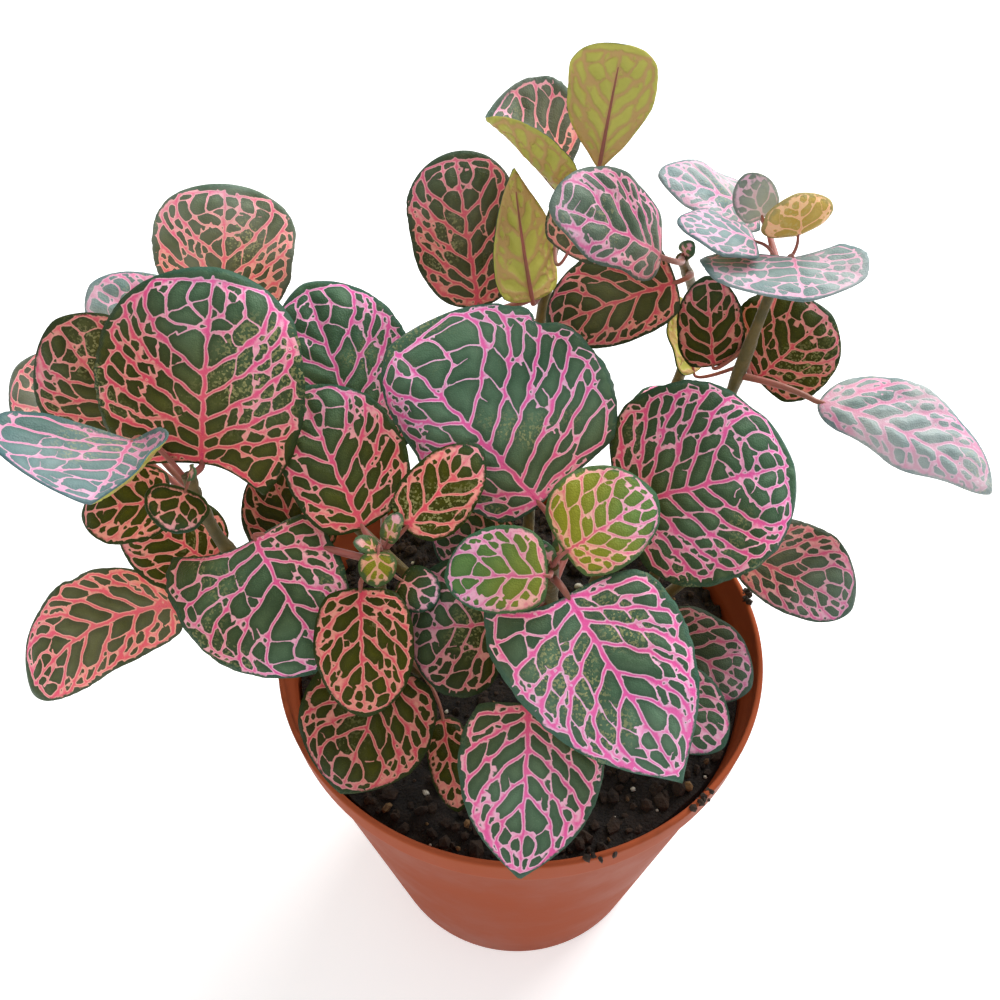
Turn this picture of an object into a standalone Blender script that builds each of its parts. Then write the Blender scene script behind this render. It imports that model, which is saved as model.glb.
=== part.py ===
"""Potted nerve plant: a small foliage plant in a round nursery pot.

Metres, +Z up. The origin is the middle of the pot's underside, and the
front of the plant faces -Y. Sizes in the tables below are in millimetres.
"""
import math

import bmesh
import bpy
from mathutils import Vector

MM = 0.001

# Pot, in millimetres
RIM_RADIUS = 60.0
BASE_RADIUS = 40.0
POT_HEIGHT = 105.0
COLLAR_HEIGHT = 9.0
COLLAR_STEP = 1.2
WALL = 1.5
FLOOR = 2.0
POT_SIDES = 40
DRAIN_HOLES = 8
DRAIN_RADIUS = 4.0
DRAIN_CIRCLE = 25.0

# Soil, in millimetres
SOIL_LEVEL = 96.0
SOIL_CROWN = 1.5
GAP = 0.3

# Plant, in millimetres
STEM_POINTS = 10
STEM_FOOT = 1.6
STEM_TOP = 1.2
LEAF_THICKNESS = 0.7
PETIOLE_WIDTH = 1.6
STALK_CLEARANCE = 0.9
WIDEST_AT = 0.42
LOBE_BACK = 0.07
BLADE_ROWS = (0.0, 0.1, 0.3, 0.5, 0.72, 0.9, 1.0)
ACROSS = (-1.0, -0.55, 0.0, 0.55, 1.0)
TIP_WIDTH = 0.16

# Each stem runs through these points, from the soil up: x, y, z.
STEMS = {
    "left": ((-24, -6), (-45, -8, 118), (-63, -5, 140), (-69, -2, 154), (-70, -1, 163)),
    "left_back": ((-22, 16), (-42, 26, 116), (-57, 31, 135), (-62, 38, 152), (-68, 46, 160)),
    "front_left": ((-20, -6), (-28, -12, 115), (-31, -13, 135), (-30, -11, 151)),
    "centre": ((4, -10), (6, -14, 115), (6, -17, 135), (5.5, -18, 154)),
    "right_low": ((26, 4), (33, 6, 108), (41, 8, 117), (46, 9, 122)),
    "back": ((2, 22), (3, 38, 120), (4, 53, 148), (7, 60, 172), (10, 61, 190)),
    "back_mid": ((18, 16), (31, 38, 120), (44, 61, 145), (44, 65, 160), (38, 57, 177)),
    "back_right": ((32, 14), (44, 30, 125), (51, 38, 152), (55, 42, 170), (58, 45, 182)),
}

# One row a leaf: the stem and how far up it the leaf stalk starts, where the
# blade starts and ends, the way its upper face looks, the half widths left
# and right of the midrib, the bend of the midrib, the upward curl of the left
# and right halves in degrees, and the sideways bow of the midrib.
LEAVES = {
    "leaf_left_1": ("left", 1.0, (-67.5, 1, 164), (-63, 26, 196), (0.05, -0.65, 0.76), 23, 20.5, 25, -8, -22, 0),
    "leaf_left_2": ("left", 0.93, (-79, -1, 173.5), (-80, -24, 179.5), (0.12, -0.1, 1), 12, 25, -15, 80, 30, 0),
    "leaf_left_3": ("left", 0.86, (-82, 11, 161), (-99, 24, 184), (-0.25, -0.6, 0.75), 15, 16, 15, 0, 0, 0),
    "leaf_left_4": ("left", 0.72, (-84, 14, 151), (-121, 40, 158), (-0.2, -0.5, 0.85), 14, 13, 15, 10, 10, 0),
    "leaf_left_5": ("left", 0.98, (-69, -7, 165), (-72, -14, 160), (0, -0.7, 0.7), 7, 7, -20, 50, 50, 0),
    "leaf_left_6": ("left", 0.85, (-75, -2, 157), (-95, -3, 153), (0, -0.35, 0.93), 9, 9, 15, 0, 0, 0),
    "leaf_left_7": ("left", 0.55, (-70, -2, 135), (-90, 6, 145), (0.15, -0.5, 0.85), 11, 11, 10, 0, 0, 0),
    "leaf_left_8": ("left", 0.4, (-78, -9, 129), (-113, -22, 113), (0, -0.6, 0.8), 11, 13, 20, 0, 0, -5),
    "leaf_left_back_1": ("left_back", 1.0, (-72, 52, 162), (-70, 70, 189), (0, -0.65, 0.75), 18, 17, 15, -8, -8, 0),
    "leaf_left_back_2": ("left_back", 0.85, (-80, 49, 154), (-106, 61, 167), (-0.2, -0.3, 0.93), 12, 12, 20, 0, 0, 0),
    "leaf_left_back_3": ("left_back", 0.5, (-46, 44, 132), (-50, 78, 134), (-0.1, 0.3, 0.95), 13, 14, 25, 0, 0, 0),
    "leaf_front_left_1": ("front_left", 1.0, (-34, -7, 153), (-49, 20, 169), (0, -0.65, 0.75), 11, 16, 10, 0, 12, 0),
    "leaf_front_left_2": ("front_left", 0.98, (-25, -8, 154), (-9, 6, 165), (0.1, -0.6, 0.8), 7.5, 8.5, 10, 20, 20, 0),
    "leaf_front_left_3": ("front_left", 0.9, (-35, 20, 145), (-53, 60, 168), (0, -0.6, 0.8), 14, 19, 20, -5, -10, 0),
    "leaf_front_left_4": ("front_left", 1.0, (-30, -15, 155), (-30, -22, 152), (0, -0.5, 0.85), 4, 4, 20, 0, 0, 0),
    "leaf_front_left_5": ("front_left", 0.92, (-58, -6, 149), (-40.5, -28, 132), (-0.05, -0.6, 0.8), 14, 24, 40, -10, -15, 0),
    "leaf_front_left_6": ("front_left", 0.85, (-34, -19, 148), (-33, -38.5, 129), (0, -0.75, 0.66), 11, 10, 25, 0, 0, 0),
    "leaf_front_left_7": ("front_left", 0.6, (-28, -28, 133), (-39, -48, 114), (0, -0.7, 0.72), 14, 15, 15, 0, 0, 0),
    "leaf_front_left_8": ("front_left", 0.9, (-26, -16, 147), (-18, -19, 143), (0.1, -0.6, 0.8), 5, 5, 10, 0, 0, 0),
    "leaf_front_left_9": ("front_left", 0.7, (-50, 2, 132), (-59, 18, 148), (0, -0.7, 0.7), 11, 11, 10, 0, 0, 0),
    "leaf_front_left_10": ("front_left", 0.3, (-18, -28, 112), (-14, -48, 106), (0, -0.4, 0.9), 5, 5, 15, 0, 0, 0),
    "leaf_centre_1": ("centre", 0.9, (4, 2.5, 150), (-30, 32, 171), (0.05, -0.65, 0.76), 14, 32.5, 30, -35, -3, 0),
    "leaf_centre_2": ("centre", 0.85, (21.5, 3, 149), (62, 14, 151), (0.1, -0.55, 0.83), 25, 22, 25, -8, -12, 0),
    "leaf_centre_3": ("centre", 1.0, (8, -18, 158), (27, -7, 164), (0, -0.6, 0.8), 13, 9, 20, 0, 0, 0),
    "leaf_centre_4": ("centre", 0.98, (4.5, -23, 157), (-16.5, -20.5, 153), (-0.1, -0.6, 0.8), 7.5, 10.5, 20, 0, 0, 0),
    "leaf_centre_5": ("centre", 0.94, (8.5, -24, 152), (32, -52, 126), (0, -0.65, 0.76), 18, 20, 20, -5, -5, 0),
    "leaf_centre_6": ("centre", 0.7, (1, -38, 134), (-1, -65, 110), (0, -0.7, 0.7), 16, 14, 25, -5, -10, 0),
    "leaf_centre_7": ("centre", 0.78, (-5, -23, 141), (-25, -22, 137), (-0.2, -0.5, 0.85), 15, 15, 20, 0, 0, 0),
    "leaf_centre_8": ("centre", 0.45, (31, -9, 118), (54, -19, 110), (0, -0.5, 0.85), 11, 10, 15, 0, 0, 0),
    "leaf_centre_9": ("centre", 0.4, (28, -18, 114), (45.5, -34, 109), (0, -0.5, 0.85), 10, 9, 15, 0, 0, 0),
    "leaf_centre_10": ("centre", 0.55, (-3, -3, 138), (-20, 6, 141), (0, -0.55, 0.83), 9, 9, 15, 0, 0, 0),
    "leaf_right_low_1": ("right_low", 1.0, (52, 8.5, 127), (79, -3, 119.5), (0, -0.55, 0.83), 14, 8.5, 20, 0, 0, 0),
    "leaf_right_low_2": ("back_right", 0.55, (69, 29, 157), (106, 8, 148), (0.1, -0.3, 0.95), 14, 7, 45, 0, -50, 0),
    "leaf_back_1": ("back", 0.68, (-10, 50, 168), (-16, 78, 193), (0, -0.65, 0.76), 14, 13, 10, -15, 10, 0),
    "leaf_back_2": ("back", 0.92, (8.5, 65, 190.5), (-8, 67, 207), (0.4, 0.05, 0.9), 15, 25, 10, 95, 60, 0),
    "leaf_back_3": ("back", 1.0, (17, 59.5, 198.5), (21, 68, 223), (0.1, 0.9, 0.1), 9.5, 10.5, 20, 30, 15, 0),
    "leaf_back_4": ("back", 0.72, (2.3, 47, 172), (-2.2, 60, 199), (-0.5, 0.8, -0.3), 9, 8, 10, 15, 15, 0),
    "leaf_back_5": ("back", 0.85, (9.8, 45, 186), (18.8, 51, 202), (0, -0.6, 0.8), 8.5, 8, 10, 0, 0, 0),
    "leaf_back_6": ("back", 0.4, (0, 56, 135), (-8, 90, 138), (0, 0.35, 0.94), 15, 15, 25, 0, 0, 0),
    "leaf_back_mid_1": ("back_mid", 1.0, (31, 43, 187), (5, 33, 206), (-0.2, -0.5, 0.8), 8, 14, 20, -20, 0, 0),
    "leaf_back_mid_2": ("back_mid", 0.9, (36, 49, 176), (6, 48, 163), (-0.1, -0.6, 0.8), 10, 14, 15, 0, 0, 0),
    "leaf_back_mid_3": ("back_mid", 0.4, (38, 47, 122), (50, 74, 122), (0.2, 0.3, 0.93), 14, 14, 25, 0, 0, 0),
    "leaf_back_right_1": ("back_right", 1.0, (57, 67, 183), (31, 62, 196), (0.1, -0.25, 0.97), 9, 9, 15, 0, 0, 0),
    "leaf_back_right_2": ("back_right", 0.97, (51, 43, 191), (33, 43, 196), (-0.1, 0.05, 1), 10, 8, 15, 0, 0, 0),
    "leaf_back_right_3": ("back_right", 0.99, (59, 41, 188.5), (57.5, 23, 190), (0, 0, 1), 15, 21, 5, 30, 8, 0),
    "leaf_back_right_4": ("back_right", 1.0, (60.5, 45, 190.5), (58.5, 46.5, 200.5), (0, -0.6, 0.8), 8.3, 8.3, 60, -20, -20, 0),
    "leaf_back_right_5": ("back_right", 0.95, (54, 52.5, 190.5), (49, 56, 199.5), (-0.2, -0.6, 0.75), 5, 5, 10, 10, 10, 0),
    "leaf_back_right_6": ("back_right", 0.6, (57, 40, 154), (74, 49, 167), (0.1, -0.6, 0.8), 16, 12, 10, 0, 0, 0),
    "leaf_back_right_7": ("back_right", 0.65, (46.2, 41, 157), (42.2, 47, 179), (-0.1, -0.65, 0.75), 8, 8, 10, 0, 0, 0),
    "leaf_back_right_8": ("back_right", 0.58, (43, 47, 150), (38, 57, 166), (-0.7, 0.6, -0.1), 6, 7, 10, 0, 0, 0),
}

# Leaves whose outline differs from the usual: where they are widest, how far the
# lobes beside the stalk reach back, left and right, how blunt the tip is (0.4
# flat, 1.1 pointed) and how full the base is (0.5 round, 1.2 a wedge).
SHAPES = {
    "leaf_left_1": (0.50, 0.2, 0.34, 0.55, 0.5),
    "leaf_left_8": (0.50, 0.04, 0.04, 0.6, 0.5),
    "leaf_left_back_1": (0.62, 0.03, 0.03, 0.5, 0.5),
    "leaf_front_left_1": (0.45, 0.05, 0.05, 0.75, 0.5),
    "leaf_front_left_2": (0.40, 0.03, 0.03, 0.8, 0.5),
    "leaf_front_left_3": (0.50, 0.05, 0.05, 0.6, 0.5),
    "leaf_front_left_5": (0.28, 0.10, 0.5, 0.65, 0.5),
    "leaf_front_left_7": (0.45, 0.07, 0.07, 0.9, 0.5),
    "leaf_centre_1": (0.42, 0.06, 0.14, 0.6, 0.5),
    "leaf_centre_2": (0.44, 0.06, 0.06, 0.55, 0.5),
    "leaf_centre_5": (0.28, 0.05, 0.30, 1.2, 0.5),
    "leaf_centre_6": (0.34, 0.07, 0.10, 1.05, 0.5),
    "leaf_right_low_1": (0.50, 0.03, 0.03, 0.6, 0.5),
    "leaf_right_low_2": (0.40, 0.0, 0.0, 0.75, 0.5),
    "leaf_back_1": (0.60, 0.03, 0.03, 0.5, 0.5),
    "leaf_back_3": (0.74, -0.05, -0.05, 0.5, 0.95),
    "leaf_back_4": (0.24, 0.05, 0.05, 1.2, 0.5),
    "leaf_back_right_3": (0.42, 0.3, 0.05, 0.6, 0.5),
}
USUAL_SHAPE = (WIDEST_AT, LOBE_BACK, LOBE_BACK, 0.65, 0.5)

# Young leaves and old, dark ones, by name; the rest are full-grown.
YOUNG_LEAVES = {
    "leaf_front_left_2", "leaf_front_left_4", "leaf_centre_3", "leaf_centre_4",
    "leaf_back_right_4", "leaf_left_7",
}


def clear_scene():
    for old in list(bpy.data.objects):
        bpy.data.objects.remove(old, do_unlink=True)


def material(name, colour, roughness, metallic=0.0):
    mat = bpy.data.materials.get(name)
    if mat is None:
        mat = bpy.data.materials.new(name)
        mat.use_nodes = True
        shader = mat.node_tree.nodes["Principled BSDF"]
        shader.inputs["Base Color"].default_value = (*colour, 1.0)
        shader.inputs["Roughness"].default_value = roughness
        shader.inputs["Metallic"].default_value = metallic
        mat.diffuse_color = (*colour, 1.0)
    return mat


def pot_plastic():
    return material("terracotta_plastic", (0.45, 0.13, 0.07), 0.5)


def peat():
    return material("peat", (0.02, 0.015, 0.012), 0.95)


def stem_skin():
    return material("stem_skin", (0.3, 0.22, 0.1), 0.6)


def leaf_skin(name):
    if name in YOUNG_LEAVES:
        return material("young_leaf", (0.3, 0.4, 0.08), 0.5)
    return material("grown_leaf", (0.06, 0.16, 0.09), 0.5)


def finish_object(name, mesh, mat):
    obj = bpy.data.objects.new(name, mesh)
    bpy.context.scene.collection.objects.link(obj)
    obj.data.materials.append(mat)
    return obj


def turned_mesh(name, profile, sides):
    """A solid turned about Z from a profile of (radius, height) in mm.

    A radius of zero at both ends makes a solid with no hole through it.
    """
    bm = bmesh.new()
    points = [bm.verts.new((r * MM, 0.0, z * MM)) for r, z in profile]
    edges = [bm.edges.new(pair) for pair in zip(points, points[1:])]
    bmesh.ops.spin(
        bm, geom=points + edges, cent=(0, 0, 0), axis=(0, 0, 1), dvec=(0, 0, 0),
        angle=math.tau, steps=sides, use_merge=True, use_duplicate=False,
    )
    bmesh.ops.remove_doubles(bm, verts=bm.verts, dist=1e-6)
    bmesh.ops.recalc_face_normals(bm, faces=bm.faces)
    mesh = bpy.data.meshes.new(name)
    bm.to_mesh(mesh)
    bm.free()
    mesh.shade_smooth()
    mesh.set_sharp_from_angle(angle=math.radians(35))
    return mesh


def wall_radius(z):
    """The pot's outer radius below the collar, at height z."""
    body_top = POT_HEIGHT - COLLAR_HEIGHT
    top_radius = RIM_RADIUS - COLLAR_STEP - 0.8
    return BASE_RADIUS + (top_radius - BASE_RADIUS) * z / body_top


def make_pot():
    collar_foot = POT_HEIGHT - COLLAR_HEIGHT
    outside = [
        (0.0, 0.0),
        (BASE_RADIUS - 1.0, 0.0),
        (wall_radius(1.0), 1.0),
        (wall_radius(collar_foot), collar_foot),
        (RIM_RADIUS - 0.8, collar_foot + 0.6),
        (RIM_RADIUS, POT_HEIGHT - 0.6),
        (RIM_RADIUS - 0.5, POT_HEIGHT),
    ]
    inside = [
        (RIM_RADIUS - WALL, POT_HEIGHT - 0.5),
        (RIM_RADIUS - WALL - 0.8, collar_foot + 1.0),
        (wall_radius(collar_foot) - WALL, collar_foot - 1.0),
        (wall_radius(FLOOR) - WALL, FLOOR),
        (0.0, FLOOR),
    ]
    mesh = turned_mesh("pot", outside + inside, POT_SIDES)
    pot = finish_object("pot", mesh, pot_plastic())
    drill = make_drain_cutter()
    cut = pot.modifiers.new("drain holes", "BOOLEAN")
    cut.operation = "DIFFERENCE"
    cut.solver = "EXACT"
    cut.object = drill
    return pot


def make_drain_cutter():
    """A ring of round pegs that cut the drain holes through the floor."""
    bm = bmesh.new()
    for index in range(DRAIN_HOLES):
        turn = math.tau * (index + 0.5) / DRAIN_HOLES
        peg = bmesh.ops.create_cone(
            bm, cap_ends=True, segments=12, radius1=DRAIN_RADIUS * MM,
            radius2=DRAIN_RADIUS * MM, depth=8 * MM,
        )
        place = Vector((DRAIN_CIRCLE * math.cos(turn), DRAIN_CIRCLE * math.sin(turn), 1.0))
        bmesh.ops.translate(bm, verts=peg["verts"], vec=place * MM)
    mesh = bpy.data.meshes.new("drain_cutter")
    bm.to_mesh(mesh)
    bm.free()
    cutter = bpy.data.objects.new("drain_cutter", mesh)
    bpy.context.scene.collection.objects.link(cutter)
    cutter.hide_render = True
    cutter.display_type = "WIRE"
    return cutter


def make_soil():
    floor = FLOOR + GAP
    shoulder = POT_HEIGHT - COLLAR_HEIGHT - 1.0
    profile = [
        (0.0, floor),
        (wall_radius(floor) - WALL - GAP, floor),
        (wall_radius(shoulder) - WALL - GAP - 0.1, shoulder - 0.5),
        (wall_radius(shoulder) - WALL - GAP - 1.5, SOIL_LEVEL - 0.3),
        (RIM_RADIUS * 0.55, SOIL_LEVEL + 0.3),
        (RIM_RADIUS * 0.25, SOIL_LEVEL),
        (0.0, SOIL_LEVEL),
    ]
    return finish_object("soil", turned_mesh("soil", profile, POT_SIDES), peat())


def smooth_line(points, count):
    """Evenly numbered points along a Catmull-Rom curve through the given ones."""
    ends = [2 * points[0] - points[1], *points, 2 * points[-1] - points[-2]]
    spans = len(points) - 1
    line = []
    for index in range(count):
        place = spans * index / (count - 1)
        span = min(int(place), spans - 1)
        t = place - span
        a, b, c, d = ends[span:span + 4]
        line.append(0.5 * (
            2 * b + (c - a) * t + (2 * a - 5 * b + 4 * c - d) * t ** 2
            + (3 * b - a - 3 * c + d) * t ** 3
        ))
    return line


def stem_line(stem):
    foot, *rest = STEMS[stem]
    start = Vector((*foot, SOIL_LEVEL + SOIL_CROWN))
    return smooth_line([start] + [Vector(point) for point in rest], STEM_POINTS)


def stem_radius(along):
    return STEM_FOOT + (STEM_TOP - STEM_FOOT) * along


def make_stem(stem):
    name = "stem_" + stem
    curve = bpy.data.curves.new(name, "CURVE")
    curve.dimensions = "3D"
    curve.bevel_depth = MM
    curve.bevel_resolution = 1
    curve.use_fill_caps = True
    line = stem_line(stem)
    spline = curve.splines.new("POLY")
    spline.points.add(len(line) - 1)
    for index, point in enumerate(line):
        spline.points[index].co = (*(point * MM), 1.0)
        spline.points[index].radius = stem_radius(index / (len(line) - 1))
    return finish_object(name, curve, stem_skin())


def point_on_stem(stem, along):
    line = stem_line(stem)
    place = along * (len(line) - 1)
    index = min(int(place), len(line) - 2)
    axis = (line[index + 1] - line[index]).normalized()
    return line[index].lerp(line[index + 1], place - index), axis


def half_width(shape, along):
    """The blade's half width from its base (0) to its tip (1), as a share."""
    widest, _, _, blunt, full = shape
    if along < widest:
        return (1.0 - ((widest - along) / widest) ** 2.4) ** full
    return max(1.0 - ((along - widest) / (1.0 - widest)) ** 2.3, 0.0) ** blunt


def blade_frame(base, tip, face):
    """The blade's own directions: forward, left and up, and its length."""
    chord = tip - base
    forward = chord.normalized()
    up = (face - forward * face.dot(forward)).normalized()
    return forward, up.cross(forward), up, chord.length


def blade_point(name, along, side):
    """A point of the blade: along from base to tip, side from -1 to +1."""
    leaf = LEAVES[name]
    shape = SHAPES.get(name, USUAL_SHAPE)
    _, _, base, tip, face, left, right, bend, curl_left, curl_right, bow = leaf
    base = Vector(base)
    forward, across, up, length = blade_frame(base, Vector(tip), Vector(face))
    half = max(half_width(shape, along), TIP_WIDTH if along > 0.5 else 0.0)
    width = half * (left if side > 0 else right)
    if along == 0.0:
        width = PETIOLE_WIDTH / 2
    lobe = shape[1] if side > 0 else shape[2]
    reach = along - lobe * side ** 2 * (1.0 - along) ** 2 * min(1.0, along * 10)

    turn = math.radians(bend)
    if abs(turn) < 1e-3:
        middle = base + forward * length * reach
        normal = up
    else:
        radius = length / (2 * math.sin(turn / 2))
        angle = turn * (reach - 0.5)
        middle = base + forward * (length / 2 + radius * math.sin(angle))
        middle += up * radius * (math.cos(angle) - math.cos(turn / 2))
        normal = up * math.cos(angle) + forward * math.sin(angle)
    middle += across * bow * 4 * reach * (1.0 - reach)

    curl = math.radians(curl_left if side > 0 else curl_right) * abs(side)
    out = abs(side) * width
    if abs(curl) > 1e-3:
        flat = out * math.sin(curl) / curl
        lift = out * (1.0 - math.cos(curl)) / curl
    else:
        flat, lift = out, 0.0
    return middle + across * math.copysign(flat, side) + normal * lift


def petiole_points(leaf):
    """Two cross rows of the leaf stalk, from beside the stem to the blade."""
    stem, along, base, tip, face, *_ = leaf
    base = Vector(base)
    forward, across, _, _ = blade_frame(base, Vector(tip), Vector(face))
    node, axis = point_on_stem(stem, along)
    out = base - node
    out -= axis * out.dot(axis) * 0.8
    start = node + out.normalized() * (stem_radius(along) + STALK_CLEARANCE)
    reach = (base - start).length
    bendpoint = base - forward * reach * 0.4
    rows = []
    for t in (0.0, 0.5):
        middle = start * (1 - t) ** 2 + bendpoint * 2 * t * (1 - t) + base * t ** 2
        rows.append([middle + across * side * PETIOLE_WIDTH / 2 for side in ACROSS])
    return rows


def make_leaf(name):
    """A blade and its stalk: a shaped sheet that Solidify gives its thickness."""
    leaf = LEAVES[name]
    rows = petiole_points(leaf)
    rows += [[blade_point(name, along, side) for side in ACROSS] for along in BLADE_ROWS]
    bm = bmesh.new()
    grid = bmesh.ops.create_grid(
        bm, x_segments=len(ACROSS) - 1, y_segments=len(rows) - 1, size=1.0,
    )["verts"]
    grid.sort(key=lambda vert: (round(vert.co.y, 4), round(vert.co.x, 4)))
    for vert, point in zip(grid, [point for row in rows for point in row]):
        vert.co = point * MM
    for face in bm.faces:
        face.smooth = True
    bmesh.ops.reverse_faces(bm, faces=bm.faces)
    mesh = bpy.data.meshes.new(name)
    bm.to_mesh(mesh)
    bm.free()
    obj = finish_object(name, mesh, leaf_skin(name))
    skin = obj.modifiers.new("thickness", "SOLIDIFY")
    skin.thickness = LEAF_THICKNESS * MM
    skin.offset = 0.0
    return obj


def main():
    clear_scene()
    make_pot()
    make_soil()
    for stem in STEMS:
        make_stem(stem)
    for name in LEAVES:
        make_leaf(name)


main()
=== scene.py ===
"""How the potted nerve plant looks: the veined leaves, the stems, the soil and
the pot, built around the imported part. Lengths are in millimetres, except those
of the shaders, the floor and the lamps, which are in metres.
"""
import math
import random
from collections import namedtuple

import bmesh
import bpy
import numpy as np
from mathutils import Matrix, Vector, noise
from mathutils.geometry import delaunay_2d_cdt


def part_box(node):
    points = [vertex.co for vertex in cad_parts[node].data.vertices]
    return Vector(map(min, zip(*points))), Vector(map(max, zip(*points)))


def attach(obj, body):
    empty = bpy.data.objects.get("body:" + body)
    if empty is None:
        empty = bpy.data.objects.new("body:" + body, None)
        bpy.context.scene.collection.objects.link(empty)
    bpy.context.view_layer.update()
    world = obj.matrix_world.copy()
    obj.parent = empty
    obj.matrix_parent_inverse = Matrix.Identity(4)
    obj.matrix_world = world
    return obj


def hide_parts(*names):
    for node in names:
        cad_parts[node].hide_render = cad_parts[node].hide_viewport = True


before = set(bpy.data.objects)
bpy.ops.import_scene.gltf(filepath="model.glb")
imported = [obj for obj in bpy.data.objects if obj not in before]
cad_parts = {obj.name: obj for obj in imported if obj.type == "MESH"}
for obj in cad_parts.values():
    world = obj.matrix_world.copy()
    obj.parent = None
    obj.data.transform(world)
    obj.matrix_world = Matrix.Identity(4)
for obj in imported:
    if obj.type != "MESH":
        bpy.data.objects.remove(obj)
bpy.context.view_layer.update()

MM = 0.001

# Pot and soil
POT_LOW, POT_HIGH = (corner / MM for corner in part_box("pot"))
RIM_RADIUS = (POT_HIGH.x - POT_LOW.x) / 2
POT_HEIGHT = POT_HIGH.z - POT_LOW.z
BASE_RADIUS = 40.0
COLLAR_HEIGHT = 9.0
COLLAR_STEP = 1.2
LIP_RADIUS = 0.7
WALL = 1.5
FLOOR = 2.0
POT_SIDES = 144
DRAIN_HOLES = 8
DRAIN_RADIUS = 4.0
DRAIN_CIRCLE = 25.0
SOIL_LEVEL = 96.0
SOIL_CROWN = 1.5
SOIL_SIDES = 150
SOIL_RINGS = 58
# Grains on the soil: their finish, the seed of their places, their number, their
# least and greatest size, how finely they are cut, and how far their middles
# stand above the soil, as a share of their size.
GRAINS = {
    "soil_crumbs": ("soil_crumb", "crumbs", 1500, (0.5, 2.0), 1, 0.15),
    "soil_perlite": ("perlite", "perlite", 85, (0.4, 1.25), 2, 0.35),
    "soil_bits": ("wood_bits", "bits", 70, (0.5, 1.5), 1, 0.4),
}
# The clumps of crumbs on the rim: where in degrees, how high, how many crumbs
RIM_CLUMPS = ((11, 104.7, 14), (-48, 104.6, 12), (-75, 104.9, 5), (170, 104.8, 7), (60, 104.8, 6))

# Stems and leaf stalks
STEM_KNOTS = 10
STEM_RINGS = 48
STEM_FOOT = 1.6
STEM_TOP = 1.2
NODE_SWELL = 0.35
STALK_RADIUS = 0.95
STALK_POINTS = 12

# Blades
BLADE_THICKNESS = 0.4
EDGE_STEP = 0.8
VEIN_STEP = 0.65
CELL_STEP = 0.8
POINT_GAP = 0.42        # the least distance between two points of a blade's net
RIM_GAP = 0.36          # the least distance from the margin to a point inside
JOIN = 0.07             # how softly veins run into each other
CELL_RISE = 0.38        # how high a cell between fine veins rises
FIELD_RISE = 0.75       # how high a field between the main veins rises
RIM_FALL = 0.35         # how far the margin turns down

# Half widths of the veins at their start and end, on a leaf of usual length
USUAL_LENGTH = 40.0
PAIR_LENGTHS = (12, 22, 36)     # the leaf length that takes each pair of side veins past three
MIDRIB = (0.70, 0.30)
SIDE_VEIN = (0.38, 0.46)
LOOP = (0.36, 0.28)
FORK = (0.24, 0.30)
BASE_LOOP = (0.30, 0.22)
BASE_TWIG = (0.22, 0.14)
FRINGE = (0.20, 0.08)
FRINGE_TIE = (0.10, 0.10)
FREE_END = (0.18, 0.04)
LINK_RANGE = (0.10, 0.19)

SIDE_END = 0.87         # how far out the side veins end, as a share of the half width
LAST_END = 0.91         # how far along the last side vein ends
VEIN_LIMIT = 0.985      # no vein comes nearer to the margin or the tip than this share
START_SPAN = 0.44       # the share of the midrib that the side veins leave from
FORK_GAPS = (5.6, 10.0, 15.0)   # the gap between side veins that takes each further fork

# Each stem runs through these points, from the soil up: x, y, z.
STEMS = {
    "left": ((-24, -6), (-45, -8, 118), (-63, -5, 140), (-69, -2, 154), (-70, -1, 163)),
    "left_back": ((-22, 16), (-42, 26, 116), (-57, 31, 135), (-62, 38, 152), (-68, 46, 160)),
    "front_left": ((-20, -6), (-28, -12, 115), (-31, -13, 135), (-30, -11, 151)),
    "centre": ((4, -10), (6, -14, 115), (6, -17, 135), (5.5, -18, 154)),
    "right_low": ((26, 4), (33, 6, 108), (41, 8, 117), (46, 9, 122)),
    "back": ((2, 22), (3, 38, 120), (4, 53, 148), (7, 60, 172), (10, 61, 190)),
    "back_mid": ((18, 16), (31, 38, 120), (44, 61, 145), (44, 65, 160), (38, 57, 177)),
    "back_right": ((32, 14), (44, 30, 125), (51, 38, 152), (55, 42, 170), (58, 45, 182)),
}

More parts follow.
